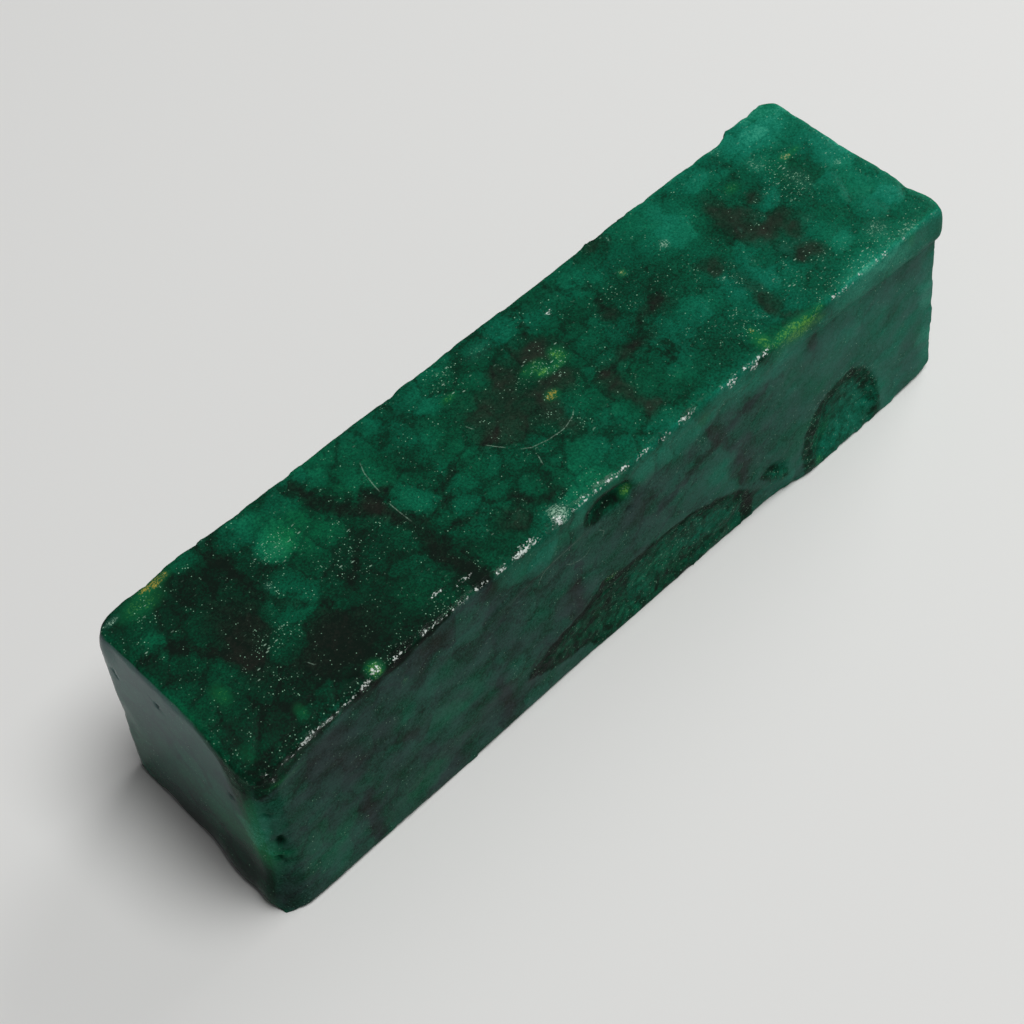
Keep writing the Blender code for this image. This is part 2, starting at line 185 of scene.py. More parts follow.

# Small inclusions: kind, side, place, half widths, strength.
# glint: crushed white crystal with painted glints; black: painted shade in open cracks, pits and under the crest;
# glitter: a dusting of small bright specks with painted sparkle
SPOTS = (
    ("ochre", "top", 1.7, -0.1, 0.75, 0.55, 1.0), ("lime", "top", 2.9, 2.1, 0.8, 0.4, 1.0),
    ("lime", "top", 4.9, 2.5, 0.8, 1.0, 0.8), ("lime", "top", 2.6, 3.0, 1.3, 0.7, 0.6),
    ("lime", "top", 4.0, 1.8, 1.6, 0.4, 0.7), ("ochre", "top", 14.5, 4.8, 0.42, 0.4, 0.9),
    ("pale", "top", 19.1, 4.5, 0.6, 0.6, 0.9), ("pale", "top", 14.5, 4.8, 0.4, 0.35, 0.65),
    ("pale", "top", 33.1, 4.0, 0.65, 0.38, 0.65), ("ochre", "top", 33.1, 4.0, 0.75, 0.45, 0.8),
    ("lime", "top", 34.2, 4.0, 0.7, 0.35, 0.6), ("pale", "top", 30.7, 5.2, 0.8, 1.0, 0.6),
    ("lime", "top", 27.4, 4.8, 0.8, 0.6, 0.5), ("pale", "top", 32.0, 1.4, 1.0, 1.8, 0.55),
    ("pale", "top", 35.5, 0.4, 0.6, 0.4, 0.8), ("pale", "top", 32.0, -7.1, 1.3, 1.0, 0.7),
    ("pale", "top", 33.6, -8.9, 1.4, 0.6, 0.7), ("ochre", "top", 17.1, -7.1, 0.4, 0.45, 0.8),
    ("lime", "top", 16.9, -8.4, 0.8, 1.2, 0.8), ("lime", "top", 19.2, -9.2, 2.3, 0.6, 0.9),
    ("lime", "top", 22.5, -9.4, 0.9, 0.5, 0.7), ("pale", "top", 7.5, 6.25, 0.5, 0.2, 1.0),
    ("pale", "top", 16.4, 8.0, 0.22, 0.3, 0.9), ("pale", "top", 26.0, 7.6, 0.35, 0.15, 0.9),
    ("pale", "top", 0.8, 7.4, 1.4, 0.8, 0.45), ("pale", "top", 29.6, 9.0, 0.7, 0.8, 0.6),
    ("lime", "top", -33.4, 8.0, 2.2, 1.1, 0.58), ("ochre", "top", -31.6, 8.8, 1.9, 0.55, 0.9),
    ("pale", "top", -36.0, 8.5, 0.9, 0.4, 0.9), ("pale", "top", -26.5, 9.4, 0.5, 0.35, 0.9),
    ("lime", "top", -34.4, -2.6, 0.7, 1.1, 0.55), ("pale", "top", -23.0, 4.3, 1.0, 0.8, 0.45),
    ("pale", "top", -25.7, 2.2, 0.3, 0.5, 0.8), ("lime", "top", -4.1, 5.6, 0.8, 0.4, 0.7),
    ("lime", "top", -31.2, -7.8, 0.5, 0.8, 0.5), ("lime", "top", -36.2, -7.8, 0.8, 1.3, 0.5),
    ("pale", "top", -6.1, -8.7, 1.1, 1.0, 1.0), ("lime", "top", -25.1, -9.1, 0.8, 0.9, 0.9),
    ("pale", "top", 19.6, -1.6, 0.4, 0.3, 0.7), ("pale", "top", 22.7, -1.9, 0.3, 0.3, 0.7),
    ("pale", "top", 28.4, -6.5, 0.25, 0.3, 0.8), ("pale", "top", 18.6, -6.4, 0.3, 0.2, 0.8),
    ("pale", "top", 29.0, -2.2, 1.0, 0.5, 0.4), ("pale", "top", 24.5, 1.1, 0.2, 0.2, 0.8),
    ("lime", "front", 0.4, 17.6, 0.7, 0.8, 1.0), ("lime", "front", -1.2, 18.6, 1.4, 0.3, 0.7), ("lime", "front", 22.8, 0.8, 0.6, 0.8, 0.7),
    ("lime", "front", 9.2, 18.4, 0.7, 0.8, 0.5), ("ochre", "front", -2.0, 8.8, 0.7, 0.3, 0.8),
    ("ochre", "front", -3.2, 4.4, 0.6, 0.9, 0.6), ("lime", "front", -34.8, 17.2, 2.0, 0.3, 0.6),
    ("ochre", "front", -23.0, 17.0, 0.25, 0.4, 0.7), ("pale", "front", -16.9, 1.2, 0.4, 0.4, 0.6),
    ("lime", "front", 20.4, 19.8, 2.5, 1.1, 1.0), ("lime", "front", 18.0, 20.2, 1.2, 0.4, 0.8),
    # Painted highlights: the pale spots along the crest at X 28.5, along the far top edges at X 37.3 and 37.4, and
    # along the lip at X 34.5
    ("lime", "front", 22.5, 19.2, 0.9, 0.5, 0.8), ("pale", "top", 28.5, -8.7, 4.6, 0.5, 0.35),
    ("pale", "top", 37.3, 6.0, 0.5, 3.0, 0.35), ("pale", "top", 37.4, -6.5, 0.5, 3.0, 0.40),
    ("lime", "front", 33.7, 19.5, 0.5, 0.9, 0.5), ("pale", "front", 34.5, 17.3, 3.5, 0.35, 0.40),
    # The glint spots paint crushed white crystal together with painted glints
    ("glint", "top", -25.2, -9.1, 0.55, 0.26, 0.8), ("glint", "top", -6.6, -9.2, 0.60, 0.40, 0.8),
    ("glint", "top", -17.4, -7.35, 1.00, 0.24, 0.6), ("glint", "top", -15.2, -7.95, 0.90, 0.24, 0.6),
    ("glint", "top", -15.0, -6.9, 0.50, 0.24, 0.4), ("glint", "front", -2.0, 18.4, 1.00, 0.26, 0.55),
    ("glint", "top", 7.5, 6.25, 0.35, 0.26, 0.8), ("glint", "top", -36.9, -6.5, 0.30, 0.30, 0.7),
    ("glint", "front", 12.5, 19.9, 0.55, 0.40, 0.7), ("glint", "front", 14.9, 19.9, 0.5, 0.45, 0.7),
    ("glint", "front", 4.9, 20.1, 0.9, 0.35, 0.45), ("glint", "front", 7.4, 20.2, 0.8, 0.35, 0.6),
    ("glint", "front", 16.3, 20.2, 0.5, 0.30, 0.6), ("glint", "front", 25.6, 20.1, 1.2, 0.35, 0.45),
    ("glint", "front", -31.2, 19.5, 1.2, 0.30, 0.6), ("glint", "front", -33.8, 18.9, 0.7, 0.30, 0.5),
    ("glint", "top", -9.8, -9.0, 1.3, 0.30, 0.5), ("glint", "top", -2.5, -9.0, 2.4, 0.30, 0.4), ("glint", "front", -35.7, 18.0, 0.25, 0.30, 0.5),
    # The black spots are painted shade in open cracks, in pits and under the crest
    ("black", "front", -31.4, 19.3, 0.8, 0.25, 0.9), ("black", "front", -30.2, 19.2, 1.0, 0.30, 0.8),
    ("black", "front", -27.0, 19.6, 0.7, 0.55, 1.0), ("black", "front", -25.6, 19.5, 0.5, 0.50, 1.0),
    ("black", "front", -23.0, 19.6, 1.6, 0.60, 1.0), ("black", "front", -20.5, 19.9, 1.6, 0.40, 0.9),
    ("black", "front", -18.6, 20.1, 0.8, 0.25, 0.8), ("black", "top", -26.8, -8.6, 1.0, 0.70, 0.6),
    ("black", "top", -22.6, -8.9, 1.2, 0.50, 0.7), ("black", "top", -14.8, -9.0, 0.8, 0.40, 0.7),
    ("black", "front", -14.6, 20.2, 0.9, 0.15, 0.7), ("black", "front", 15.6, 19.9, 1.0, 0.35, 1.0),
    ("black", "top", 5.2, -9.2, 0.5, 0.40, 0.4), ("black", "front", 8.0, 20.2, 0.7, 0.30, 0.5),
    ("black", "front", 20.6, 19.9, 0.6, 0.60, 0.9), ("black", "front", -2.6, 18.0, 1.2, 0.60, 0.8),
    ("black", "front", -37.0, 13.7, 0.40, 0.5, 1.0), ("black", "front", -36.5, 9.8, 0.60, 1.0, 1.0),
    ("black", "front", -36.8, 7.6, 0.40, 0.7, 0.9), ("black", "front", -36.8, 11.8, 0.25, 1.2, 0.6),
    ("black", "end", -5.8, 13.7, 0.55, 0.40, 0.9), ("black", "end", 1.8, 17.3, 0.50, 0.22, 0.7), ("black", "front", -3.6, 18.6, 0.6, 1.0, 0.9),
    ("pale", "front", -2.2, 18.75, 1.1, 0.26, 0.8), ("lime", "front", -0.6, 18.1, 0.9, 0.3, 0.7),
    ("black", "front", -1.6, 19.3, 2.0, 0.28, 0.8), ("black", "front", 4.4, 20.2, 0.5, 0.5, 0.7),
    ("black", "front", 13.2, 20.2, 0.5, 0.4, 0.6), ("black", "front", 21.0, 20.2, 0.9, 0.6, 0.9),
    # The glitter spots mark where bright specks with painted sparkle are dusted
    ("glitter", "top", -22.8, 4.5, 2.6, 1.6, 0.8), ("glitter", "top", -19.5, -0.5, 2.8, 2.4, 0.5),
    ("glitter", "top", -25.6, 1.6, 0.5, 1.4, 0.8), ("glitter", "top", -29.0, -1.8, 2.6, 1.6, 0.7),
    ("glitter", "top", -31.0, -4.5, 1.2, 2.2, 0.6), ("glitter", "top", -35.5, 4.2, 0.9, 2.6, 0.4),
    ("glitter", "top", -33.0, 7.5, 2.4, 1.4, 0.5), ("glitter", "top", -24.0, -8.8, 5.0, 0.8, 0.6),
    ("glitter", "top", -17.4, -8.6, 2.2, 0.9, 0.9), ("glitter", "top", -15.8, -3.6, 0.8, 1.4, 0.4),
    ("glitter", "top", -3.0, 7.0, 2.2, 1.8, 0.7), ("glitter", "top", -3.9, 0.0, 0.8, 3.4, 0.5),
    ("glitter", "top", 3.4, 2.6, 2.6, 1.8, 0.8), ("glitter", "top", 1.0, -2.5, 1.5, 2.5, 0.5),
    ("glitter", "top", -4.0, -8.3, 3.6, 1.0, 0.6), ("glitter", "top", 13.5, 3.5, 2.5, 2.0, 0.4),
    ("glitter", "top", 17.0, -6.0, 2.5, 1.6, 0.6), ("glitter", "top", 20.5, -2.0, 1.6, 2.2, 0.5),
    ("glitter", "top", 31.3, 2.5, 1.5, 3.4, 1.1), ("glitter", "top", 25.0, -5.5, 4.0, 2.5, 0.5),
    ("glitter", "top", 29.5, -8.4, 6.5, 1.0, 0.9), ("glitter", "top", 36.4, 1.0, 1.0, 5.0, 0.4),
    ("glitter", "front", 20.5, 19.4, 2.4, 0.9, 0.6), ("glitter", "front", -2.5, 8.4, 2.2, 1.0, 0.5),
    ("glitter", "front", 25.5, 8.6, 3.5, 1.4, 0.8), ("glitter", "front", 22.3, 5.0, 1.2, 3.5, 0.6),
    ("glitter", "front", 29.3, 5.5, 1.2, 3.5, 0.6), ("glitter", "front", 6.0, 7.2, 7.0, 1.0, 0.5),
)

# Pits: side, place, radius, depth
PITS = (
    ("end", 2.1, 17.4, 0.28, 0.30), ("end", 1.4, 17.1, 0.20, 0.20), ("end", 8.0, 15.9, 0.2, 0.2),
    ("end", 7.7, 15.3, 0.18, 0.15), ("end", 7.0, 15.9, 0.15, 0.15), ("end", 2.9, 17.9, 0.15, 0.12),
    ("end", -5.8, 13.7, 0.35, 0.2), ("front", -37.0, 13.7, 0.35, 0.3), ("front", -36.5, 9.8, 0.5, 0.4),
    ("front", -36.8, 7.7, 0.35, 0.35),
    ("front", 0.5, 15.3, 0.4, 0.3), ("front", -36.7, 13.5, 0.3, 0.3), ("front", -36.6, 12.6, 0.2, 0.2),
    ("front", -36.4, 10.4, 0.3, 0.35), ("front", -36.4, 9.4, 0.35, 0.35), ("front", -36.5, 7.0, 0.3, 0.3),
    ("front", -35.0, 17.7, 0.2, 0.2), ("front", -10.7, 11.8, 0.2, 0.2), ("front", -22.9, 17.6, 0.2, 0.2),
)

# Raised crumbs of crystal on the surface: centre, half widths, height
CRUMBS = (
    ((-6.2, -8.9, 20.4), (1.1, 1.0, 0.8), 0.28),
    ((-25.1, -9.2, 20.3), (0.8, 0.8, 0.7), 0.22),
    ((-26.5, 9.4, 20.3), (0.6, 0.4, 0.5), 0.18),
)

# Where the outline stands out from the plain saw cuts: centre, half widths, push
SWELLS = (
    ((-37.4, -4.5, 1.5), (2.5, 4.5, 4.0), (-0.50, 0.0, 0.0)),
    ((-37.4, -9.0, 1.5), (2.5, 3.0, 4.0), (-0.55, 0.0, 0.0)),
    ((-37.2, 9.0, 8.5), (2.5, 2.5, 3.0), (0.10, 0.0, 0.0)),
    ((-37.2, 9.0, 19.0), (2.0, 2.5, 4.0), (-0.20, 0.0, 0.0)),
    ((31.4, 9.6, 20.0), (1.2, 1.4, 5.0), (0.0, 0.25, 0.0)),
    ((37.5, -7.8, 20.0), (1.5, 1.6, 3.0), (0.22, 0.0, 0.0)),
    ((37.5, -3.0, 20.0), (1.5, 3.5, 3.5), (0.12, 0.0, 0.0)),
    ((37.0, -9.2, 18.6), (1.5, 1.5, 2.5), (0.10, -0.20, 0.0)),
    ((-29.5, 9.4, 20.0), (3.0, 1.6, 6.0), (0.0, 0.22, 0.0)),
    ((-35.8, 9.2, 20.0), (2.0, 1.6, 6.0), (0.0, -0.15, 0.0)),
    ((17.0, 8.6, 20.0), (4.5, 1.8, 2.4), (0.0, 0.60, 0.0)),
)

# The crest of the top front edge, and the stretches along X where it is crushed and carries painted glints, each with
# a strength
CREST = (
    (37.6, -9.35, 20.4), (-22.0, -9.35, 20.35), (-26.0, -9.40, 20.05), (-31.0, -9.38, 19.4),
    (-34.0, -9.25, 19.05), (-36.3, -9.0, 18.7))
CREST_BITS = (
    (-36.3, -35.8, 0.8), (-34.8, -33.6, 0.6), (-33.1, -31.9, 0.9), (-31.5, -29.7, 1.0),
    (-29.3, -28.9, 0.7), (-28.6, -27.4, 0.75), (-26.8, -25.8, 0.9), (-23.6, -22.7, 0.85),
    (-22.4, -21.6, 0.5), (-20.7, -20.0, 0.8), (-19.6, -18.9, 0.95), (-18.7, -15.6, 0.5),
    (-15.5, -13.8, 0.65), (-13.1, -12.1, 0.85), (-11.5, -8.5, 1.0), (-8.5, -7.4, 0.6),
    (-7.3, -6.0, 0.9), (-5.4, -3.6, 0.75), (-3.6, -1.4, 0.6), (-1.4, 1.0, 0.8), (1.7, 3.2, 0.85),
    (4.1, 5.6, 0.6), (6.6, 8.6, 0.9), (11.2, 11.7, 0.6), (12.0, 13.1, 0.95), (13.8, 14.4, 0.9),
    (14.5, 15.8, 1.0), (15.9, 17.2, 0.6), (24.2, 24.9, 0.8), (25.9, 27.2, 0.85), (27.2, 29.6, 0.6),
    (30.1, 30.8, 0.75), (32.6, 33.3, 0.5), (35.1, 35.6, 0.7), (36.0, 37.0, 0.5))

# Outline seen against the paper, as X and Y: the front foot
FOOT_LINE = (
    (-37.8, -8.98), (-37.32, -9.33), (-36.8, -9.65), (-35.84, -9.99), (-34.5, -10.02), (-33.0, -10.0), (-28.0, -9.86), (-24.0, -9.8), (-20.0, -9.72),
    (-16.0, -9.6), (-12.0, -9.47), (-8.0, -9.36), (-4.0, -9.25), (1.0, -9.2), (5.0, -9.18),
    (11.0, -9.15), (15.0, -9.13), (17.2, -9.08), (18.9, -9.3), (20.6, -9.6), (21.9, -9.8),
    (24.5, -9.72), (28.6, -9.7), (32.7, -9.6), (35.9, -9.47), (37.6, -9.3))

# Low ridges: side, half width, height, and the points they run through
RIDGES = (
    ("front", 0.45, 0.10, ((-13.5, 16.1), (-10.5, 16.5), (-7.5, 16.9), (-3.8, 17.2))),
    ("front", 0.35, 0.08, ((-36.2, 16.4), (-34.6, 17.3), (-33.0, 18.2))),
    ("front", 0.40, 0.08, ((4.5, 5.5), (5.5, 6.4), (7.0, 6.5))),
    ("front", 0.35, 0.10, ((-4.2, 1.5), (-8.7, 2.8), (-11.4, 4.5))),
)


def oval(first, second, long, high, turn=0.0, count=20):
    """Outline of an oval chip in a side's own two axes; turn is in degrees."""
    angles = [2 * math.pi * step / count for step in range(count)]
    spin = math.radians(turn)
    outline = []
    for angle in angles:
        run, rise = long * math.cos(angle), high * math.sin(angle)
        across = first + run * math.cos(spin) - rise * math.sin(spin)
        outline.append((across, second + run * math.sin(spin) + rise * math.cos(spin)))
    return tuple(outline)


# Chips: side, roughness of the break, depth and width of the step inside its rim, painted shade along its rim, outline
BREAKS = (
    ("front", 0.80, 0.70, 5.00, 0.05, (
        (-38.0, 15.4), (-36.9, 16.0), (-36.2, 16.5), (-34.6, 17.4), (-33.0, 18.2), (-30.0, 18.8), (-28.5, 19.2),
        (-28.5, 22.0), (-38.0, 22.0))),
    ("end", 0.50, 0.28, 4.00, 0.02, (
        (-3.0, 20.1), (-5.3, 18.8), (-6.6, 16.3), (-8.4, 16.3), (-10.8, 16.3), (-10.8, 22.0), (-3.0, 22.0))),
    ("front", 0.55, 0.20, 2.20, 0.10, (
        (-29.5, 18.85), (-27.0, 19.0), (-23.0, 19.3), (-20.0, 19.75), (-17.5, 20.1), (-17.5, 22.0), (-29.5, 22.0))),
    ("front", 1.0, 0.42, 1.10, 0.20, (
        (-11.6, 4.9), (-10.0, 5.8), (-7.8, 7.0), (-5.2, 7.3), (-4.2, 8.0), (-3.0, 9.2), (-2.0, 9.3),
        (-0.6, 8.5), (2.5, 8.6), (7.5, 8.3), (10.0, 7.3), (12.5, 6.1), (14.2, 4.8), (15.1, 2.0),
        (15.2, -1.0), (-3.0, -1.0), (-4.2, 1.4), (-8.8, 2.7), (-11.5, 4.3))),
    ("front", 0.15, 0.16, 0.40, -0.06, (
        (12.7, 6.2), (16.0, 4.2), (19.0, 2.4), (22.0, 0.6), (22.0, -1.0), (15.4, -1.0), (15.2, 2.0), (14.3, 4.8))),
    ("front", 0.9, 0.50, 1.30, 0.24, (
        (21.4, -1.0), (20.9, 1.5), (20.8, 3.4), (21.2, 5.6), (22.3, 7.4), (23.8, 8.5), (25.4, 8.9),
        (27.2, 8.8), (28.5, 8.1), (29.4, 6.8), (30.2, 4.9), (30.8, 2.9), (30.9, 1.5), (30.6, -1.0))),
    ("front", 0.9, 0.35, 0.60, 0.16, (
        (15.6, 5.0), (16.4, 5.3), (17.8, 4.4), (19.0, 3.0), (19.3, 2.2), (18.4, 2.2), (17.0, 3.2), (15.8, 4.4))),
    ("front", 0.7, 0.40, 0.70, 0.22, (
        (-4.1, 18.8), (-2.8, 19.5), (-0.2, 19.4), (0.9, 18.6), (1.1, 17.4), (0.2, 16.8), (-1.6, 17.2),
        (-3.2, 16.7), (-4.2, 17.5))),
    ("back", 0.8, 0.30, 0.80, 0.15, oval(-14.0, 2.4, 9.0, 4.2, -4.0)),
    ("back", 0.8, 0.30, 0.60, 0.15, oval(17.0, 18.6, 3.4, 2.3, 10.0)),
    ("end", 0.6, 0.10, 0.40, 0.15, oval(5.3, 0.1, 1.3, 0.7, 5.0)),
    ("end", 0.6, 0.10, 0.40, 0.15, oval(0.4, 0.1, 1.0, 0.5, -5.0)),
    ("far", 0.8, 0.30, 0.80, 0.15, oval(3.0, 2.2, 3.6, 3.2, 12.0)),
)


def linear(code):
    """Turn an sRGB hex colour into linear red, green and blue."""
    values = [int(code[start:start + 2], 16) / 255 for start in (1, 3, 5)]
    return [v / 12.92 if v <= 0.04045 else ((v + 0.055) / 1.055) ** 2.4 for v in values]


def colour_setting(name, text, code):
    """Declare a colour that the user can change."""
    return bpy.props.FloatVectorProperty(
        name=name, description=text, subtype="COLOR", size=3, min=0.0, max=1.0, default=linear(code))


def length_setting(name, text, millimetres):
    """Declare a length that the user can change."""
    return bpy.props.FloatProperty(
        name=name, description=text, unit="LENGTH", min=0.0, precision=5, default=millimetres * MM)


def share_setting(name, text, share):
    """Declare a share from 0 to 1 that the user can change."""
    return bpy.props.FloatProperty(
        name=name, description=text, subtype="FACTOR", min=0.0, max=1.0, default=share)


class EmeraldShape(bpy.types.PropertyGroup):
    """Sizes of the stone's relief."""

    grid: length_setting("Mesh grid", "Spacing of the stone's mesh", 0.28)
    saw_wave: length_setting("Saw waves", "Depth of the long waves that the saw left", 0.10)
    grain: length_setting("Grain width", "Width of the crystal grains", 2.7)
    grain_relief: length_setting("Grain relief", "How far grains stand proud of each other", 0.03)
    edge_wear: length_setting("Edge wear", "How deep the sawn edges have crumbled", 0.13)
    break_relief: length_setting("Break relief", "Depth of the relief in the chips", 0.16)


class EmeraldColours(bpy.types.PropertyGroup):
    """Colours of the stone."""

    deep: colour_setting("Deep", "Cloudy, nearly black body", "#131f19")
    dark_green: colour_setting("Dark green", "Shaded green grain", "#0e3525")
    green: colour_setting("Green", "Common green of the grains", "#0d5236")
    warm_green: colour_setting("Warm green", "Lit grain in the greener zones", "#147645")
    teal: colour_setting("Teal", "Common blue-green of the grains", "#0d5a44")
    light_teal: colour_setting("Light teal", "Clear, lit grain", "#187b62")
    glow: colour_setting("Glow", "Thin, clearest crystal", "#3da184")
    brown: colour_setting("Brown", "Mica-brown seams and patches", "#332d2a")
    ochre: colour_setting("Ochre", "Iron-stained specks", "#b09c42")
    lime: colour_setting("Lime", "Yellow-green specks", "#64a047")
    # The pale colour also paints the glint dashes on the top
    pale: colour_setting("Pale", "Whitish green specks", "#a9ccb4")
    # The wax film's grey also stands for a painted sheen: the sawn sides mirroring the lit paper
    haze: colour_setting("Wax film", "Grey film of dried wax on the sawn sides", "#465c5d")
    # Also paints sparkle where grains would catch the light
    speck_and_sparkle: colour_setting("Speck", "Fine bright specks under the polish", "#9ccfae")
    # Painted reflection of the lit paper on the polished near end
    reflection_tint: colour_setting("Polished haze", "Blue-grey bloom on the polished near end", "#869fa5")
    # Also paints the glints along the crest and on crumbs
    white: colour_setting("Crushed crystal", "Crushed white crystal on worn edges", "#dfe9e2")
    # Also paints shade in cracks, in pits and under the crest
    crack_and_shade: colour_setting("Crack", "Open cracks and pits", "#070b09")


class EmeraldFinish(bpy.types.PropertyGroup):
    """Gloss of the stone's surfaces."""

    top_roughness: share_setting("Top roughness", "Rubbed and waxed top", 0.24)
    side_roughness: share_setting("Side roughness", "Sawn and waxed sides", 0.48)
    end_roughness: share_setting("End roughness", "Ground and polished near end", 0.16)
    break_roughness: share_setting("Break roughness", "Broken crystal", 0.34)
    # The film's strength also sets the painted sheen on the sides
    side_film_and_sheen: share_setting("Side film", "How much the wax film greys the sides", 0.25)
    # Strength of the painted reflection on the polished near end
    end_reflection_paint: share_setting("End bloom", "How much the bloom tints the polished near end", 0.42)
    end_coat: share_setting("End gloss", "Strength of the near end's clear gloss", 0.03)
    edge_coat: share_setting("Edge gloss", "Strength of the clear gloss on edges and crumbs", 0.95)


class EmeraldStage(bpy.types.PropertyGroup):
    """Paper, lights and camera."""

    paper: colour_setting("Paper", "Plain pale paper", "#e8e8e6")
    key: bpy.props.FloatProperty(
        name="Key light", description="Power of the soft light above the bar",
        default=3.55, min=0.0, subtype="POWER", unit="POWER")
    side: bpy.props.FloatProperty(
        name="Side light", description="Power of the soft light at the far end",
        default=0.65, min=0.0, subtype="POWER", unit="POWER")
    glint: bpy.props.FloatProperty(
        name="Glint light", description="Power of the small light that makes edges sparkle",
        default=0.20, min=0.0, subtype="POWER", unit="POWER")
    room: share_setting("Room light", "Brightness of the room around the stage", 0.08)
    lens: bpy.props.FloatProperty(
        name="Lens", description="Focal length on a 36 mm wide sensor, in millimetres",
        default=89.7, min=1.0)


# ---------------------------------------------------------------- fields over the surface


def smooth(low, high, values):
    """Smooth step from 0 at low to 1 at high."""
    share = np.clip((values - low) / (high - low), 0.0, 1.0)
    return share * share * (3.0 - 2.0 * share)


def noise_field(points, size, octaves=1, shift=0.0):
    """Smooth noise from -1 to 1 over the points; size is the width of its patches."""
    offset = Vector((shift, -shift, 0.5 * shift))
    if octaves == 1:
        values = [noise.noise(Vector(p) / size + offset) for p in points]
    else:
        values = [noise.fractal(Vector(p) / size + offset, 0.9, 2.0, octaves) for p in points]
    return np.array(values)


def noise_vectors(points, size, shift=0.0):
    """Smooth random directions over the points."""
    offset = Vector((shift, 0.3 * shift, -shift))
    return np.array([noise.noise_vector(Vector(p) / size + offset) for p in points])


def plane_depths(points):
    """Depth of each point below the six saw cuts, in the order top, underside, front, back, near, far."""
    x, y, z = points.T
    rise = z / HEIGHT
    across = (y + HALF_WIDTH) / (2 * HALF_WIDTH)
    sunk = np.where(x < 32.0, 0.1 + (BACK_LEAN - 0.1) * rise, 0.0)
    return np.stack((
        HEIGHT - z,
        z,
        y + HALF_WIDTH - FRONT_LEAN * rise,
        HALF_WIDTH - sunk - y,
        x + HALF_LENGTH - 0.45 * across,
        HALF_LENGTH - 0.25 * across - x,
    ))


def side_place(side, first, second):
    """Point in space of a place that is given in a side's own two axes."""
    if side == "top":
        return (first, second, HEIGHT)
    if side == "front":
        return (first, -HALF_WIDTH + FRONT_LEAN * second / HEIGHT, second)
    if side == "back":
        return (first, HALF_WIDTH - BACK_LEAN * second / HEIGHT, second)
    if side == "end":
        return (-HALF_LENGTH + 0.2, first, second)
    return (HALF_LENGTH - 0.1, first, second)


def side_reach(side, first, second, depth):
    """Half widths in space of a patch that is given in a side's own two axes."""
    if side == "top":
        return (first, second, depth)
    if side in ("front", "back"):
        return (first, depth, second)
    return (depth, first, second)


def patch(points, centre, reach):
    """How far each point is from a patch's centre, where 1 is the patch's rim."""
    away = (points - np.array(centre)) / np.array(reach)
    return np.sqrt((away ** 2).sum(1))


def line_distances(points, lines):
    """Distance to the nearest line, its signed side, and how far along that line the point is."""
    nearest = np.full(len(points), 1e3)
    across = np.full(len(points), 1e3)
    along = np.zeros(len(points))
    for up, corners in lines:
        total = len(corners) - 1
        for index in range(total):
            start, finish = np.array(corners[index]), np.array(corners[index + 1])
            run = finish - start
            offset = points - start
            share = np.clip(offset @ run / (run @ run), 0.0, 1.0)
            away = offset - share[:, None] * run
            distance = np.linalg.norm(away, axis=1)
            closer = distance < nearest
            side = np.sign(np.cross(run, offset) @ np.array(up))
            nearest = np.where(closer, distance, nearest)
            across = np.where(closer, distance * side, across)
            along = np.where(closer, (index + share) / total, along)
    return nearest, across, along


def side_line(side, corners):
    """Line in space from a line in a side's own two axes."""
    up = {"top": (0, 0, 1), "front": (0, -1, 0)}[side]
    return up, [side_place(side, *corner) for corner in corners]


def grain_fields(points, width):
    """Crystal grains: a random tone for each, its seed's place, and the distance to its rim."""
    picks = np.random.default_rng(7)
    reach = np.array((HALF_LENGTH + width, HALF_WIDTH + width, HEIGHT / 2 + width))
    counts = np.ceil(2 * reach / width).astype(int)
    cells = np.stack(np.meshgrid(*[np.arange(n) for n in counts], indexing="ij"), -1).reshape(-1, 3)
    seeds = (cells + picks.uniform(0.0, 1.0, cells.shape)) * width - reach + np.array((0, 0, HEIGHT / 2))
    tones = picks.uniform(-1.0, 1.0, len(seeds))
    tree = kdtree.KDTree(len(seeds))
    for index, seed in enumerate(seeds):
        tree.insert(seed, index)
    tree.balance()
    bent = points + 0.40 * noise_vectors(points, 2.6) + 0.22 * noise_vectors(points, 0.9, 3.0)
    tone, place, rim = [], [], []
    for point in bent:
        (_a, first, near), (_b, _c, far) = tree.find_n(point, 2)
        tone.append(tones[first])
        place.append(seeds[first])
        rim.append((far - near) * 0.5)
    return np.array(tone), np.array(place), np.array(rim)


def zone_sums(points, seeds):
    """Sum each tone's zones; half of a zone follows the grains' outlines."""
    sums = {tone: np.zeros(len(points)) for tone in ("light", "dark", "brown", "green")}
    bent = points + 0.7 * noise_vectors(points, 3.4, 9.0) + 0.6 * noise_vectors(points, 1.3, 5.0)
    lists = (("top", TOP_ZONES), ("front", FRONT_ZONES), ("end", END_ZONES))
    for side, zones in lists:
        for tone, first, second, wide, high, strength in zones:
            centre = side_place(side, first, second)
            reach = side_reach(side, wide, high, 2.2)
            free = 1.0 - smooth(0.50, 1.35, patch(bent, centre, reach))
            held = 1.0 - smooth(0.6, 1.25, patch(0.75 * seeds + 0.25 * bent, centre, reach))
            sums[tone] += strength * (0.55 * free + 0.45 * held)
    return sums


def spot_sums(points, kind):
    """Sum the small inclusions of one kind."""
    total = np.zeros(len(points))
    for name, side, first, second, wide, high, strength in SPOTS:
        if name == kind:
            deep = 0.45 if kind in ("glint", "black") and (side == "top" or second > 19.2) else 0.9
            away = patch(points, side_place(side, first, second), side_reach(side, wide, high, deep))
            total = np.maximum(total, strength * (1.0 - smooth(0.4, 1.35, away)))
    return total


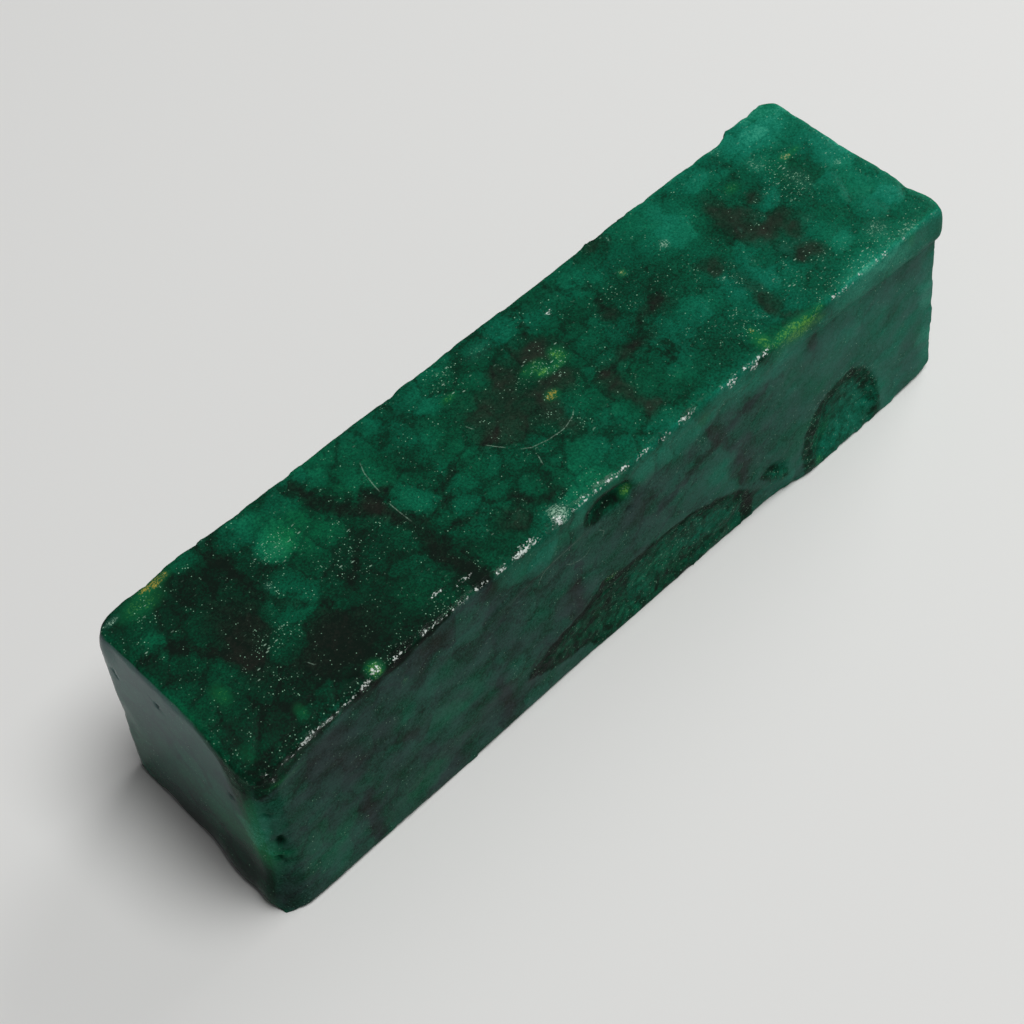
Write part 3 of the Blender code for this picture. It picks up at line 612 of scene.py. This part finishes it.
def crushed_and_glinting_crest(points):
    """Strength of the crushing and of the painted glints along the crest of the top front edge."""
    x = points[:, 0]
    along = np.zeros(len(points))
    for start, finish, strength in CREST_BITS:
        along = np.maximum(along, strength * smooth(start - 0.25, start + 0.1, x) * smooth(finish + 0.25, finish - 0.1, x))
    sway = 0.12 * noise_field(points, 1.2, 2, 51.0)
    return along * (1.0 - smooth(0.02, 0.36, line_distances(points, [((0, 0, 1), CREST)])[0] + sway))


def follow_foot(points):
    """Slide the front foot along Y so that its outline follows the foot line."""
    x, y, z = points.T
    held = (1.0 - smooth(0.8, 3.2, z)) * (1.0 - smooth(2.0, 6.0, y + HALF_WIDTH))
    outer = (z < 0.6) & (y < 0.0)
    places = np.arange(-37.5, 37.6, 0.5)
    now = np.array([y[outer & (np.abs(x - place) < 0.3)].min(initial=0.0) for place in places])
    wanted = np.interp(places, *np.array(FOOT_LINE).T)
    moved = points.copy()
    moved[:, 1] += held * np.interp(x, places, np.where(now < 0.0, wanted - now, 0.0))
    return moved


def outline_depth(flat, outline):
    """How far inside a closed outline each flat point is; below 0 outside it."""
    corners = np.array(outline)
    nearest = np.full(len(flat), 1e3)
    inside = np.zeros(len(flat), bool)
    for start, finish in zip(corners, np.roll(corners, -1, axis=0)):
        run = finish - start
        offset = flat - start
        share = np.clip(offset @ run / (run @ run), 0.0, 1.0)
        nearest = np.minimum(nearest, np.linalg.norm(offset - share[:, None] * run, axis=1))
        spans = (start[1] > flat[:, 1]) != (finish[1] > flat[:, 1])
        reach = start[0] + run[0] * (flat[:, 1] - start[1]) / (run[1] if run[1] else 1e-9)
        inside ^= spans & (flat[:, 0] < reach)
    return np.where(inside, nearest, -nearest)


def break_fields(points, depths):
    """Share of broken surface, share of its rim darkened by painted shade, and how far each point sinks into its chip.
    """
    share, rim = np.zeros(len(points)), np.zeros(len(points))
    sink = np.zeros(points.shape)
    rows = {"front": 2, "back": 3, "end": 4, "far": 5}
    inwards = {"front": (0, 1, 0), "back": (0, -1, 0), "end": (1, 0, 0), "far": (-1, 0, 0)}
    bent = points + 0.22 * noise_vectors(points, 0.9, 23.0)
    uneven = noise_field(points, 0.8, 3, 27.0)
    shallow = depths.min(axis=0)
    for side, rough, step, width, dark, outline in BREAKS:
        axis = 0 if side in ("front", "back") else 1
        inward = outline_depth(bent[:, (axis, 2)], outline)
        here = 1.0 - smooth(0.25, 0.7, depths[rows[side]] - shallow)
        inside = smooth(-0.08, 0.12, inward) * here
        ring = inside * (1.0 - smooth(0.4 * width, 1.4 * width, inward + 0.35 * width * uneven))
        wall = smooth(-0.05, 0.35 * width, inward) * here
        share = np.maximum(share, rough * inside)
        # Painted shade: the rim share darkens each chip's rim by its column's amount
        rim = np.maximum(rim, ring * dark / 0.2) if dark > 0 else rim - ring * 0.3 - inside * 0.3
        drop = step * wall * (1.0 - 0.7 * smooth(width, 2.6 * width, inward)) * smooth(0.6, 3.0, points[:, 2])
        way = np.array(inwards[side])
        sink += np.clip(drop - sink @ way, 0.0, None)[:, None] * way
    return share, rim, sink


def push_out(points, normals, distance):
    """Move the points along their normals."""
    return points + normals * distance[:, None]


def surface_points(mesh):
    """Places in millimetres and normals of a mesh's points."""
    count = len(mesh.vertices)
    places = np.empty(count * 3, np.float32)
    normals = np.empty(count * 3, np.float32)
    mesh.vertices.foreach_get("co", places)
    mesh.vertices.foreach_get("normal", normals)
    return places.reshape(-1, 3).astype(float) / MM, normals.reshape(-1, 3).astype(float)


def store(mesh, name, values):
    """Keep a field on the mesh as a named attribute."""
    layer = mesh.attributes.new(name, "FLOAT", "POINT")
    layer.data.foreach_set("value", np.asarray(values, np.float32))


def set_points(mesh, points):
    """Write places, given in millimetres, back to the mesh."""
    mesh.vertices.foreach_set("co", (points * MM).astype(np.float32).ravel())
    mesh.update()


def fine_copy(name, source, grid):
    """Copy a stone into a new object with an even, fine mesh."""
    piece = bpy.data.objects.new(name, source.data.copy())
    bpy.context.scene.collection.objects.link(piece)
    piece.data.materials.clear()
    even = piece.modifiers.new("even mesh", "REMESH")
    even.mode = "VOXEL"
    even.voxel_size = grid
    even.use_smooth_shade = True
    calm = piece.modifiers.new("calm edges", "SMOOTH")
    calm.factor = 0.5
    calm.iterations = 6
    graph = bpy.context.evaluated_depsgraph_get()
    mesh = bpy.data.meshes.new_from_object(piece.evaluated_get(graph))
    mesh.name = name
    piece.modifiers.clear()
    piece.data = mesh
    return piece


def shape_outline(points):
    """Push the outline out or in where the real cuts aren't flat."""
    moved = points.copy()
    for centre, reach, push in SWELLS:
        amount = 1.0 - smooth(0.1, 1.0, patch(points, centre, reach))
        moved += amount[:, None] * np.array(push)
    return moved


def relief(points, normals, settings, depths, grains, breaks):
    """Height of the stone's own relief at each point, in millimetres."""
    order = np.sort(depths, axis=0)
    edge = order[1]
    rim = grains[2]
    ground = 1.0 - 0.92 * smooth(0.55, 0.9, -normals[:, 0])
    height = settings.saw_wave / MM * noise_field(points, 9.0, 2) * ground
    height += settings.grain_relief / MM * (
        grains[0] * smooth(0.0, 0.35, rim) - (1 - smooth(0.0, 0.25, rim))) * ground
    height += 0.012 * noise_field(points, 0.8, 3, 4.0) * ground
    near_edge = 1.0 - smooth(0.1, 0.9, edge)
    bites = smooth(-0.1, 0.9, noise_field(points, 1.6, 3, 11.0))
    height -= settings.edge_wear / MM * near_edge * bites
    broken = breaks[0] * smooth(0.0, 1.2, points[:, 2])
    rough = noise_field(points, 1.3, 4, 21.0)
    ripple = np.sin(4.2 * patch(points, (3.0, -9.5, 14.0), (1.0, 1.0, 1.0)) + 2.0 * rough)
    height += settings.break_relief / MM * broken * (0.9 * rough + 0.15 * ripple)
    for side, half_width, rise, corners in RIDGES:
        nearest = line_distances(points, [side_line(side, corners)])[0]
        height += rise * (1.0 - smooth(0.0, 1.6 * half_width, nearest))
    for side, first, second, radius, depth in PITS:
        away = patch(points, side_place(side, first, second), side_reach(side, radius, radius, 1.5))
        height -= depth * (1.0 - smooth(0.35, 1.25, away))
    for centre, reach, rise in CRUMBS:
        height += rise * (1.0 - smooth(0.3, 1.2, patch(points, centre, reach)))
    return height


def vein_depth(points):
    """Distance to the nearest seam's rim, below 0 inside it."""
    bent = points + 0.50 * noise_vectors(points, 1.6, 13.0) + 0.30 * noise_vectors(points, 0.6, 17.0)
    rim = np.full(len(points), 3.0)
    for side, veins in (("top", TOP_VEINS), ("front", FRONT_VEINS)):
        for half_width, corners in veins:
            nearest = line_distances(bent, [side_line(side, corners)])[0]
            rim = np.minimum(rim, nearest - half_width)
    return rim


def body_tones(points, normals, grains, zones, breaks, edge):
    """Lightness from 0 to 1 and hue from green 0 to teal 1 of the stone's body, with a painted glow along the edges
    and painted shade along the chips' rims.
    """
    x, y, z = points.T
    cloud = noise_field(points, 9.0, 3, 31.0)
    tone = 0.355 + 0.0020 * x + 0.06 * smooth(6.0, 30.0, x) + 0.15 * cloud
    front = smooth(0.25, 0.75, -normals[:, 1])
    tone += (1.0 - 0.4 * front) * (0.055 * grains[0] + 0.03 * smooth(0.0, 0.5, grains[2]) - 0.02)
    tone += (0.56 + 0.2 * front) * zones["light"] - 0.43 * zones["dark"] - (0.24 + 0.1 * front) * zones["brown"]
    tone -= 0.05 * (1.0 - front) * smooth(-16.0, -28.0, x)
    tone += 0.03 * smooth(5.0, 30.0, x) + front * (0.03 + 0.06 * smooth(-8.0, 26.0, x))
    # Painted glow: lighter along the edges, most towards the far end, as if light shone through the thin crystal
    tone += (1.0 - smooth(0.0, 0.8, edge)) * (0.05 + 0.18 * smooth(10.0, 34.0, x) * (1.0 - 0.5 * front))
    # Lighter on the near end; painted shade along the chips' rims
    tone += 0.20 * smooth(-36.6, -37.3, x) - 0.26 * np.clip(breaks[1], 0.0, 1.0)
    hue = 0.48 + 0.010 * x + 0.35 * noise_field(points, 6.0, 2, 41.0) + 0.16 * grains[0]
    hue += 0.5 * zones["light"] - 0.95 * zones["green"] + 0.30 * front
    return tone, np.clip(hue, 0.0, 1.0)


def add_fields(piece, settings):
    """Shape the stone's surface and keep what its material needs as fields on the mesh."""
    mesh = piece.data
    points, normals = surface_points(mesh)
    depths = plane_depths(points)
    breaks = break_fields(points, depths)
    grains = grain_fields(points, settings.grain / MM)
    zones = zone_sums(points, grains[1])
    edge = np.sort(depths, axis=0)[1]
    tone, hue = body_tones(points, normals, grains, zones, breaks, edge)
    veins = vein_depth(points)
    lines = [side_line(side, corners) for side, corners in SCRATCHES]
    near_line, across_line, along_line = line_distances(points, lines)
    plain = smooth(0.978, 0.996, np.abs(normals).max(axis=1))
    netted = grains[2] + 0.08 * smooth(2.0, 14.0, points[:, 0])
    netted += 0.26 * smooth(-0.05, 0.30, noise_field(points, 4.5, 2, 61.0))
    flat_end = smooth(0.80, 0.97, -normals[:, 0])
    flat_end *= 1.0 - np.clip(1.4 * breaks[0], 0.0, 1.0)
    x, y, z = points.T
    # Painted reflection on the polished near end: lighter towards its top and its back, where it mirrors the lit paper
    painted_reflection = flat_end * (0.06 + 0.94 * smooth(0.0, 22.0, z + 0.5 * y)) * smooth(0.0, 1.0, y + 9.2 - 0.16 * z)
    upright = 1.0 - smooth(0.25, 0.75, np.abs(normals[:, 2]))
    upright *= 1.0 - 0.55 * smooth(16.0, 18.5, z) * smooth(0.5, 0.9, -normals[:, 1]) * smooth(-16.0, -10.0, x)
    # Painted shade in cracks, pits and under the crest; the film and its painted sheen stay off it
    black = spot_sums(points, "black")
    upright *= 1.0 - 0.9 * np.clip(black, 0.0, 1.0)
    line_ends = smooth(0.0, 0.15, along_line) * (1.0 - smooth(0.85, 1.0, along_line))
    fields = {
        "tone": tone, "hue": hue, "brown": zones["brown"], "seam": np.clip(veins, -1.0, 2.0),
        "ochre": spot_sums(points, "ochre"), "lime": spot_sums(points, "lime"),
        "pale": spot_sums(points, "pale"), "glint": np.maximum(crushed_and_glinting_crest(points), spot_sums(points, "glint")),
        "black": black, "glitter": spot_sums(points, "glitter"), "broken": breaks[0], "rim": np.clip(breaks[1], -1.0, 1.0),
        "plain": plain, "net": np.clip(netted, 0.0, 1.0),
        "edge": 1.0 - smooth(0.1, 0.9, edge),
        "polished": flat_end, "painted_reflection": painted_reflection, "upright": upright,
        "scratch_across": np.clip(across_line, -1.0, 1.0),
        "scratch_here": (1.0 - smooth(0.3, 0.6, near_line)) * line_ends,
    }
    height = relief(points, normals, settings, depths, grains, breaks)
    shaped = follow_foot(shape_outline(push_out(points, normals, height) + breaks[2]))
    set_points(mesh, shaped)
    for name, values in fields.items():
        store(mesh, name, values)


# ---------------------------------------------------------------- material


def add_node(tree, kind, inputs=None, output=0, stops=None, **settings):
    """Add a node with its settings, fill or link its inputs, and return one of its outputs."""
    node = tree.nodes.new("ShaderNode" + kind)
    for name, value in settings.items():
        setattr(node, name, value)
    for socket, value in (inputs or {}).items():
        if isinstance(value, bpy.types.NodeSocket):
            tree.links.new(value, node.inputs[socket])
        else:
            node.inputs[socket].default_value = value
    if stops:
        ramp = node.color_ramp.elements
        for index, (place, colour) in enumerate(stops):
            stop = ramp[index] if index < 2 else ramp.new(place)
            stop.position = place
            stop.color = (*colour, 1.0)
    return node.outputs[output]


def weighted_sum(tree, start, terms):
    """Add up values, each times its weight."""
    total = start
    for value, weight in terms:
        total = add_node(tree, "Math", {0: value, 1: weight, 2: total}, operation="MULTIPLY_ADD")
    return total


def tint(tree, below, colour, amount):
    """Lay a colour over another by an amount."""
    if not isinstance(colour, bpy.types.NodeSocket):
        colour = (*colour, 1.0)
    return add_node(tree, "Mix", {0: amount, 6: below, 7: colour}, output=2, data_type="RGBA")


def step_up(tree, value, low, high, top=1.0):
    """Rise smoothly from 0 at low to top at high."""
    limits = {0: value, 1: low, 2: high, 3: 0.0, 4: top}
    return add_node(tree, "MapRange", limits, interpolation_type="SMOOTHSTEP")


def times(tree, first, second):
    """Multiply two values."""
    return add_node(tree, "Math", {0: first, 1: second}, operation="MULTIPLY")


def field(tree, name):
    """Read one of the mesh's fields."""
    return add_node(tree, "Attribute", output=2, attribute_name=name)


def grain_details(tree, place):
    """Patterns finer than the mesh: small grains, mottle, specks and dashes."""
    bend = add_node(tree, "TexNoise", {"Vector": place, "Scale": 1.1, "Detail": 2.0}, output=1)
    bend = add_node(tree, "VectorMath", {0: bend, 1: (0.5, 0.5, 0.5)}, operation="SUBTRACT")
    bend = add_node(tree, "VectorMath", {0: bend, "Scale": 0.9}, operation="SCALE")
    bent = add_node(tree, "VectorMath", {0: place, 1: bend}, operation="ADD")
    small = add_node(tree, "TexVoronoi", {"Vector": bent, "Scale": 1 / 1.15}, output=1)
    rim = add_node(tree, "TexVoronoi", {"Vector": bent, "Scale": 1 / 1.15}, feature="DISTANCE_TO_EDGE")
    mottle = add_node(tree, "TexNoise", {"Vector": place, "Scale": 1.5, "Detail": 6.0, "Roughness": 0.62})
    cluster = add_node(tree, "TexNoise", {"Vector": place, "Scale": 0.75, "Detail": 3.0})
    speck = add_node(tree, "TexVoronoi", {"Vector": place, "Scale": 1 / 0.16})
    crumb = add_node(tree, "TexVoronoi", {"Vector": place, "Scale": 1 / 0.14}, output=1)
    slant = add_node(tree, "Mapping", {0: place, "Rotation": (0.5, 0.4, 0.8), "Scale": (2.0, 5.0, 5.0)})
    dash = add_node(tree, "TexVoronoi", {"Vector": slant, "Scale": 1.0})
    return {
        "chunks": add_node(tree, "TexNoise", {"Vector": place, "Scale": 1.0, "Detail": 2.0}),
        "small": add_node(tree, "SeparateColor", {0: small}),
        "rim": rim, "mottle": mottle, "cluster": cluster, "speck": speck,
        "pick": add_node(tree, "SeparateColor", {0: speck.node.outputs["Color"]}),
        "share": add_node(tree, "SeparateColor", {0: speck.node.outputs["Color"]}, output=1),
        "crumb": add_node(tree, "SeparateColor", {0: crumb}), "dash": dash,
        "dash_pick": add_node(tree, "SeparateColor", {0: dash.node.outputs["Color"]}),
        "grit": add_node(tree, "TexNoise", {"Vector": place, "Scale": 5.2, "Detail": 4.0, "Roughness": 0.8}),
    }


def body_colour(tree, colours, details):
    """Colour of the stone's body from its tone and hue fields and the fine patterns."""
    tone = weighted_sum(tree, field(tree, "tone"), (
        (details["small"], 0.05), (details["mottle"], 0.20), (details["grit"], 1.08), (0.655, -1.0)))
    seam = weighted_sum(tree, field(tree, "seam"), ((details["mottle"], 1.5), (details["small"], 0.35)))
    seam = step_up(tree, seam, 1.60, 0.50)
    net = weighted_sum(tree, field(tree, "net"), ((details["mottle"], 0.2),))
    tone = weighted_sum(tree, tone, (
        (seam, -0.26), (step_up(tree, net, 0.31, 0.14), -0.11), (step_up(tree, details["rim"], 0.10, 0.0), -0.03)))
    broken = field(tree, "broken")
    patchy = times(tree, broken, details["mottle"])
    tone = weighted_sum(tree, tone, ((patchy, 1.0), (broken, -0.56)))
    greens = add_node(tree, "ValToRGB", {0: tone}, stops=(
        (0.0, colours.deep), (1.0, colours.glow), (0.25, colours.dark_green),
        (0.50, colours.green), (0.78, colours.warm_green)))
    teals = add_node(tree, "ValToRGB", {0: tone}, stops=(
        (0.0, colours.deep), (1.0, colours.glow), (0.25, colours.dark_green),
        (0.50, colours.teal), (0.78, colours.light_teal)))
    body = tint(tree, greens, teals, field(tree, "hue"))
    brown = weighted_sum(tree, 0.0, (
        (field(tree, "brown"), 0.9), (details["mottle"], 1.2), (details["grit"], 1.5), (seam, 0.20)))
    return tint(tree, body, colours.brown, step_up(tree, brown, 1.38, 2.70, 0.80))


def inclusions(tree, body, colours, details):
    """Lay the small inclusions, specks with painted sparkle, painted glints, painted shade in cracks and scratches
    over the body's colour.
    """
    broken_up = add_node(tree, "Math", {0: details["grit"], 1: 3.4, 2: -1.9}, operation="MULTIPLY_ADD")
    # Painted shade in cracks, pits and under the crest, broken up by the grit
    crack_and_shade = add_node(tree, "Math", {0: field(tree, "black"), 1: broken_up}, operation="ADD")
    colour = tint(tree, body, colours.crack_and_shade, step_up(tree, crack_and_shade, 0.1, 1.0, 0.85))
    for name, under, share, top in (
            ("lime", colours.warm_green, 0.6, 0.85), ("ochre", colours.warm_green, 0.5, 0.9),
            ("pale", colours.glow, 0.14, 0.8)):
        here = field(tree, name)
        colour = tint(tree, colour, under, times(tree, here, share))
        amount = add_node(tree, "Math", {0: here, 1: broken_up}, operation="ADD")
        colour = tint(tree, colour, getattr(colours, name), step_up(tree, amount, 0.50, 1.20, top))
    # Bright specks with painted sparkle, denser where the glitter and the breaks are
    glitter = weighted_sum(tree, details["pick"], (
        (field(tree, "glitter"), 0.45), (field(tree, "broken"), 0.15), (details["cluster"], 0.95)))
    dots = times(tree, step_up(tree, details["speck"], 0.42, 0.12), step_up(tree, glitter, 1.36, 1.56))
    dots = times(tree, dots, step_up(tree, details["share"], 0.0, 1.15))
    colour = tint(tree, colour, colours.speck_and_sparkle, dots)
    # Painted glint dashes on the top
    dashes = weighted_sum(tree, details["dash_pick"], ((field(tree, "glitter"), 0.08),))
    dashes = times(tree, step_up(tree, details["dash"], 0.40, 0.15), step_up(tree, dashes, 0.985, 1.02, 0.5))
    colour = tint(tree, colour, colours.pale, dashes)
    # Crushed white crystal with painted glints along the crest and at the glint spots
    crushed = weighted_sum(tree, field(tree, "glint"), ((details["crumb"], 1.0), (broken_up, 0.30)))
    colour = tint(tree, colour, colours.white, step_up(tree, crushed, 1.08, 1.45, 0.92))
    scratch = add_node(tree, "Math", {0: field(tree, "scratch_across")}, operation="ABSOLUTE")
    scratch = times(tree, step_up(tree, scratch, 0.07, 0.02), field(tree, "scratch_here"))
    return tint(tree, colour, colours.pale, times(tree, scratch, step_up(tree, details["grit"], 0.3, 0.7, 0.40)))


def emerald_material(colours, finish):
    """Beryl, the crystal that emerald is, sawn, rubbed on top and waxed all over.

    The eye gets dark glassy grains with soft rims, brown mica seams, a grey film of dried wax and a painted sheen on
    the sawn sides, a clear gloss and a painted reflection on the ground near end, and sparkle, part of it painted,
    where edges have crumbled.
    """
    material = bpy.data.materials.new("sawn_waxed_beryl")
    material.use_nodes = True
    tree = material.node_tree
    surface = tree.nodes["Principled BSDF"]
    # Pattern sizes are per millimetre, so the frame's metres are scaled up first
    place = add_node(tree, "TexCoord", output="Object")
    place = add_node(tree, "VectorMath", {0: place, "Scale": 1 / MM}, operation="SCALE")
    details = grain_details(tree, place)
    colour = inclusions(tree, body_colour(tree, colours, details), colours, details)
    upright, polished, broken = (field(tree, name) for name in ("upright", "polished", "broken"))
    edge = field(tree, "edge")
    streaks = add_node(tree, "Mapping", {0: place, "Rotation": (0.0, 0.6, 0.0), "Scale": (0.8, 1.0, 1.1)})
    streaks = add_node(tree, "TexNoise", {"Vector": streaks, "Scale": 0.5, "Detail": 5.0})
    # Wax film with a painted sheen: a grey veil on the upright sawn sides, kept off the breaks and the polished end
    film = weighted_sum(tree, upright, ((broken, -1.1), (polished, -1.0)))
    streaks = weighted_sum(tree, streaks, ((details["grit"], 0.8), (0.4, -1.0)))
    film = times(tree, step_up(tree, film, 0.0, 1.0), step_up(tree, streaks, 0.2, 0.8))
    film = times(tree, film, 2.0 * finish.side_film_and_sheen)
    colour = tint(tree, colour, colours.haze, film)
    # Painted reflection on the polished near end
    colour = tint(tree, colour, colours.reflection_tint, times(tree, field(tree, "painted_reflection"), finish.end_reflection_paint))
    tree.links.new(colour, surface.inputs["Base Color"])

    rough = weighted_sum(tree, finish.top_roughness, (
        (upright, finish.side_roughness - finish.top_roughness),
        (polished, finish.end_roughness - finish.side_roughness),
        (broken, finish.break_roughness - finish.side_roughness)))
    rough = weighted_sum(tree, rough, ((details["mottle"], 0.12), (0.06, -1.0)))
    tree.links.new(rough, surface.inputs["Roughness"])
    chunks = step_up(tree, details["chunks"], 0.47, 0.60)
    sparkle = times(tree, field(tree, "glint"), chunks)
    flecks = times(tree, broken, step_up(tree, details["grit"], 0.60, 0.72))
    coat = weighted_sum(tree, 0.0, (
        (field(tree, "plain"), 0.06), (polished, finish.end_coat), (sparkle, finish.edge_coat), (flecks, 0.25)))
    tree.links.new(coat, surface.inputs["Coat Weight"])
    surface.inputs["Coat Roughness"].default_value = 0.10
    surface.inputs["Coat IOR"].default_value = 1.58
    surface.inputs["IOR"].default_value = 1.58
    surface.inputs["Specular IOR Level"].default_value = 0.006

    rugged = weighted_sum(tree, 0.10, ((sparkle, 0.7), (broken, 0.5), (edge, 0.10), (polished, -0.08)))
    bump = add_node(tree, "Bump", {"Strength": rugged, "Distance": 0.14 * MM, "Height": details["grit"]})
    tree.links.new(bump, surface.inputs["Normal"])
    tree.links.new(bump, surface.inputs["Coat Normal"])
    return material


def paper_material(colour):
    """Uncoated white paper, pressed: a plain matt surface with no gloss to speak of."""
    material = bpy.data.materials.new("matt_paper")
    material.use_nodes = True
    surface = material.node_tree.nodes["Principled BSDF"]
    surface.inputs["Base Color"].default_value = (*colour, 1.0)
    surface.inputs["Roughness"].default_value = 0.95
    surface.inputs["Specular IOR Level"].default_value = 0.1
    return material


# ---------------------------------------------------------------- stage

CAMERA_PLACE = (-0.08095, -0.09721, 0.17479)
CAMERA_AZIMUTH = -38.53
CAMERA_ELEVATION = 52.95
CAMERA_ROLL = -6.66
KEY_DIRECTION = (0.138, -0.239, 0.961)
KEY_DISTANCE = 0.7
KEY_SIZE = 0.375
SIDE_DIRECTION = (0.816, 0.144, 0.559)
SIDE_DISTANCE = 0.5
SIDE_SIZE = 0.306
GLINT_DIRECTION = (0.359, -0.829, 0.428)
GLINT_DISTANCE = 0.5
GLINT_SIZE = 0.14
PAPER_HALF_WIDTH = 0.5


def add_camera(lens):
    """Place the camera by its azimuth, elevation and roll."""
    azimuth, elevation, roll = (math.radians(a) for a in (CAMERA_AZIMUTH, CAMERA_ELEVATION, CAMERA_ROLL))
    back = Vector((math.sin(azimuth) * math.cos(elevation), -math.cos(azimuth) * math.cos(elevation), math.sin(elevation)))
    level = Vector((math.cos(azimuth), math.sin(azimuth), 0.0))
    upward = back.cross(level)
    right = level * math.cos(roll) + upward * math.sin(roll)
    upward = back.cross(right)
    data = bpy.data.cameras.new("camera")
    data.lens = lens
    data.sensor_width = 36.0
    data.clip_start = 0.01
    data.clip_end = 50.0
    camera = bpy.data.objects.new("camera", data)
    turn = Matrix((right, upward, back)).transposed().to_4x4()
    camera.matrix_world = Matrix.Translation(CAMERA_PLACE) @ turn
    bpy.context.scene.collection.objects.link(camera)
    bpy.context.scene.camera = camera


def add_light(name, direction, distance, size, power):
    """Add a round soft light that shines at the bar from a direction."""
    data = bpy.data.lights.new(name, "AREA")
    data.shape = "DISK"
    data.size = size
    data.energy = power
    light = bpy.data.objects.new(name, data)
    way = Vector(direction).normalized()
    light.location = way * distance
    light.rotation_euler = way.to_track_quat("Z", "Y").to_euler()
    bpy.context.scene.collection.objects.link(light)
    return light


def add_room(brightness):
    """Even, dim room light; the camera itself sees a pale wall."""
    world = bpy.data.worlds.new("room")
    world.use_nodes = True
    tree = world.node_tree
    seen = add_node(tree, "LightPath", output="Is Camera Ray")
    wall = (*linear("#dcdcda"), 1.0)
    glow = (brightness, brightness, brightness * 1.02, 1.0)
    colour = add_node(tree, "Mix", {0: seen, 6: glow, 7: wall}, output=2, data_type="RGBA")
    tree.links.new(colour, tree.nodes["Background"].inputs["Color"])
    bpy.context.scene.world = world


def add_paper(colour):
    """Lay a wide sheet of paper under the bar."""
    reach = PAPER_HALF_WIDTH
    mesh = bpy.data.meshes.new("paper")
    corners = [(-reach, -reach, 0.0), (reach, -reach, 0.0), (reach, reach, 0.0), (-reach, reach, 0.0)]
    mesh.from_pydata(corners, [], [(0, 1, 2, 3)])
    paper = bpy.data.objects.new("paper", mesh)
    mesh.materials.append(paper_material(colour))
    bpy.context.scene.collection.objects.link(paper)


class EMERALD_OT_make_stone(bpy.types.Operator):
    """Build the sawn and waxed stone over its CAD solid"""

    bl_idname = "emerald.make_stone"
    bl_label = "Make the stone"

    def execute(self, context):
        """Shape, colour and place the stone."""
        scene = context.scene
        piece = fine_copy("emerald_stone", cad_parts["emerald_bar"], scene.emerald_shape.grid)
        if len(piece.data.polygons) < 1000:
            raise RuntimeError("the stone's fine mesh is empty")
        add_fields(piece, scene.emerald_shape)
        piece.data.materials.append(emerald_material(scene.emerald_colours, scene.emerald_finish))
        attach(piece, "root")
        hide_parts("emerald_bar")
        return {"FINISHED"}


class EMERALD_OT_set_stage(bpy.types.Operator):
    """Lay the paper and set the lights and the camera"""

    bl_idname = "emerald.set_stage"
    bl_label = "Set the stage"

    def execute(self, context):
        """Build the stage from its settings."""
        stage = context.scene.emerald_stage
        add_paper(stage.paper)
        add_room(stage.room)
        add_light("key", KEY_DIRECTION, KEY_DISTANCE, KEY_SIZE, stage.key)
        add_light("side", SIDE_DIRECTION, SIDE_DISTANCE, SIDE_SIZE, stage.side)
        glint = add_light("glint", GLINT_DIRECTION, GLINT_DISTANCE, GLINT_SIZE, stage.glint)
        glint.visible_diffuse = False
        add_camera(stage.lens)
        context.scene.view_settings.view_transform = "Standard"
        return {"FINISHED"}


class EMERALD_PT_bar(bpy.types.Panel):
    """Settings and steps of the emerald bar"""

    bl_label = "Raw Emerald Bar"
    bl_space_type = "VIEW_3D"
    bl_region_type = "UI"
    bl_category = "Emerald"

    def draw(self, context):
        """List the settings, then the steps."""
        for name in SETTING_GROUPS:
            group = getattr(context.scene, name)
            box = self.layout.box()
            for setting in group.__annotations__:
                box.prop(group, setting)
        for operator in (EMERALD_OT_make_stone, EMERALD_OT_set_stage):
            self.layout.operator(operator.bl_idname)


SETTING_GROUPS = {
    "emerald_shape": EmeraldShape,
    "emerald_colours": EmeraldColours,
    "emerald_finish": EmeraldFinish,
    "emerald_stage": EmeraldStage,
}
CLASSES = (*SETTING_GROUPS.values(), EMERALD_OT_make_stone, EMERALD_OT_set_stage, EMERALD_PT_bar)


def register():
    """Register the classes and attach the settings to the scene."""
    for item in CLASSES:
        bpy.utils.register_class(item)
    for name, group in SETTING_GROUPS.items():
        setattr(bpy.types.Scene, name, bpy.props.PointerProperty(type=group))


def unregister():
    """Take the settings and the classes away again."""
    for name in SETTING_GROUPS:
        delattr(bpy.types.Scene, name)
    for item in reversed(CLASSES):
        bpy.utils.unregister_class(item)


def main():
    """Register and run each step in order."""
    register()
    bpy.ops.emerald.set_stage()
    bpy.ops.emerald.make_stone()


if __name__ == "__main__":
    main()
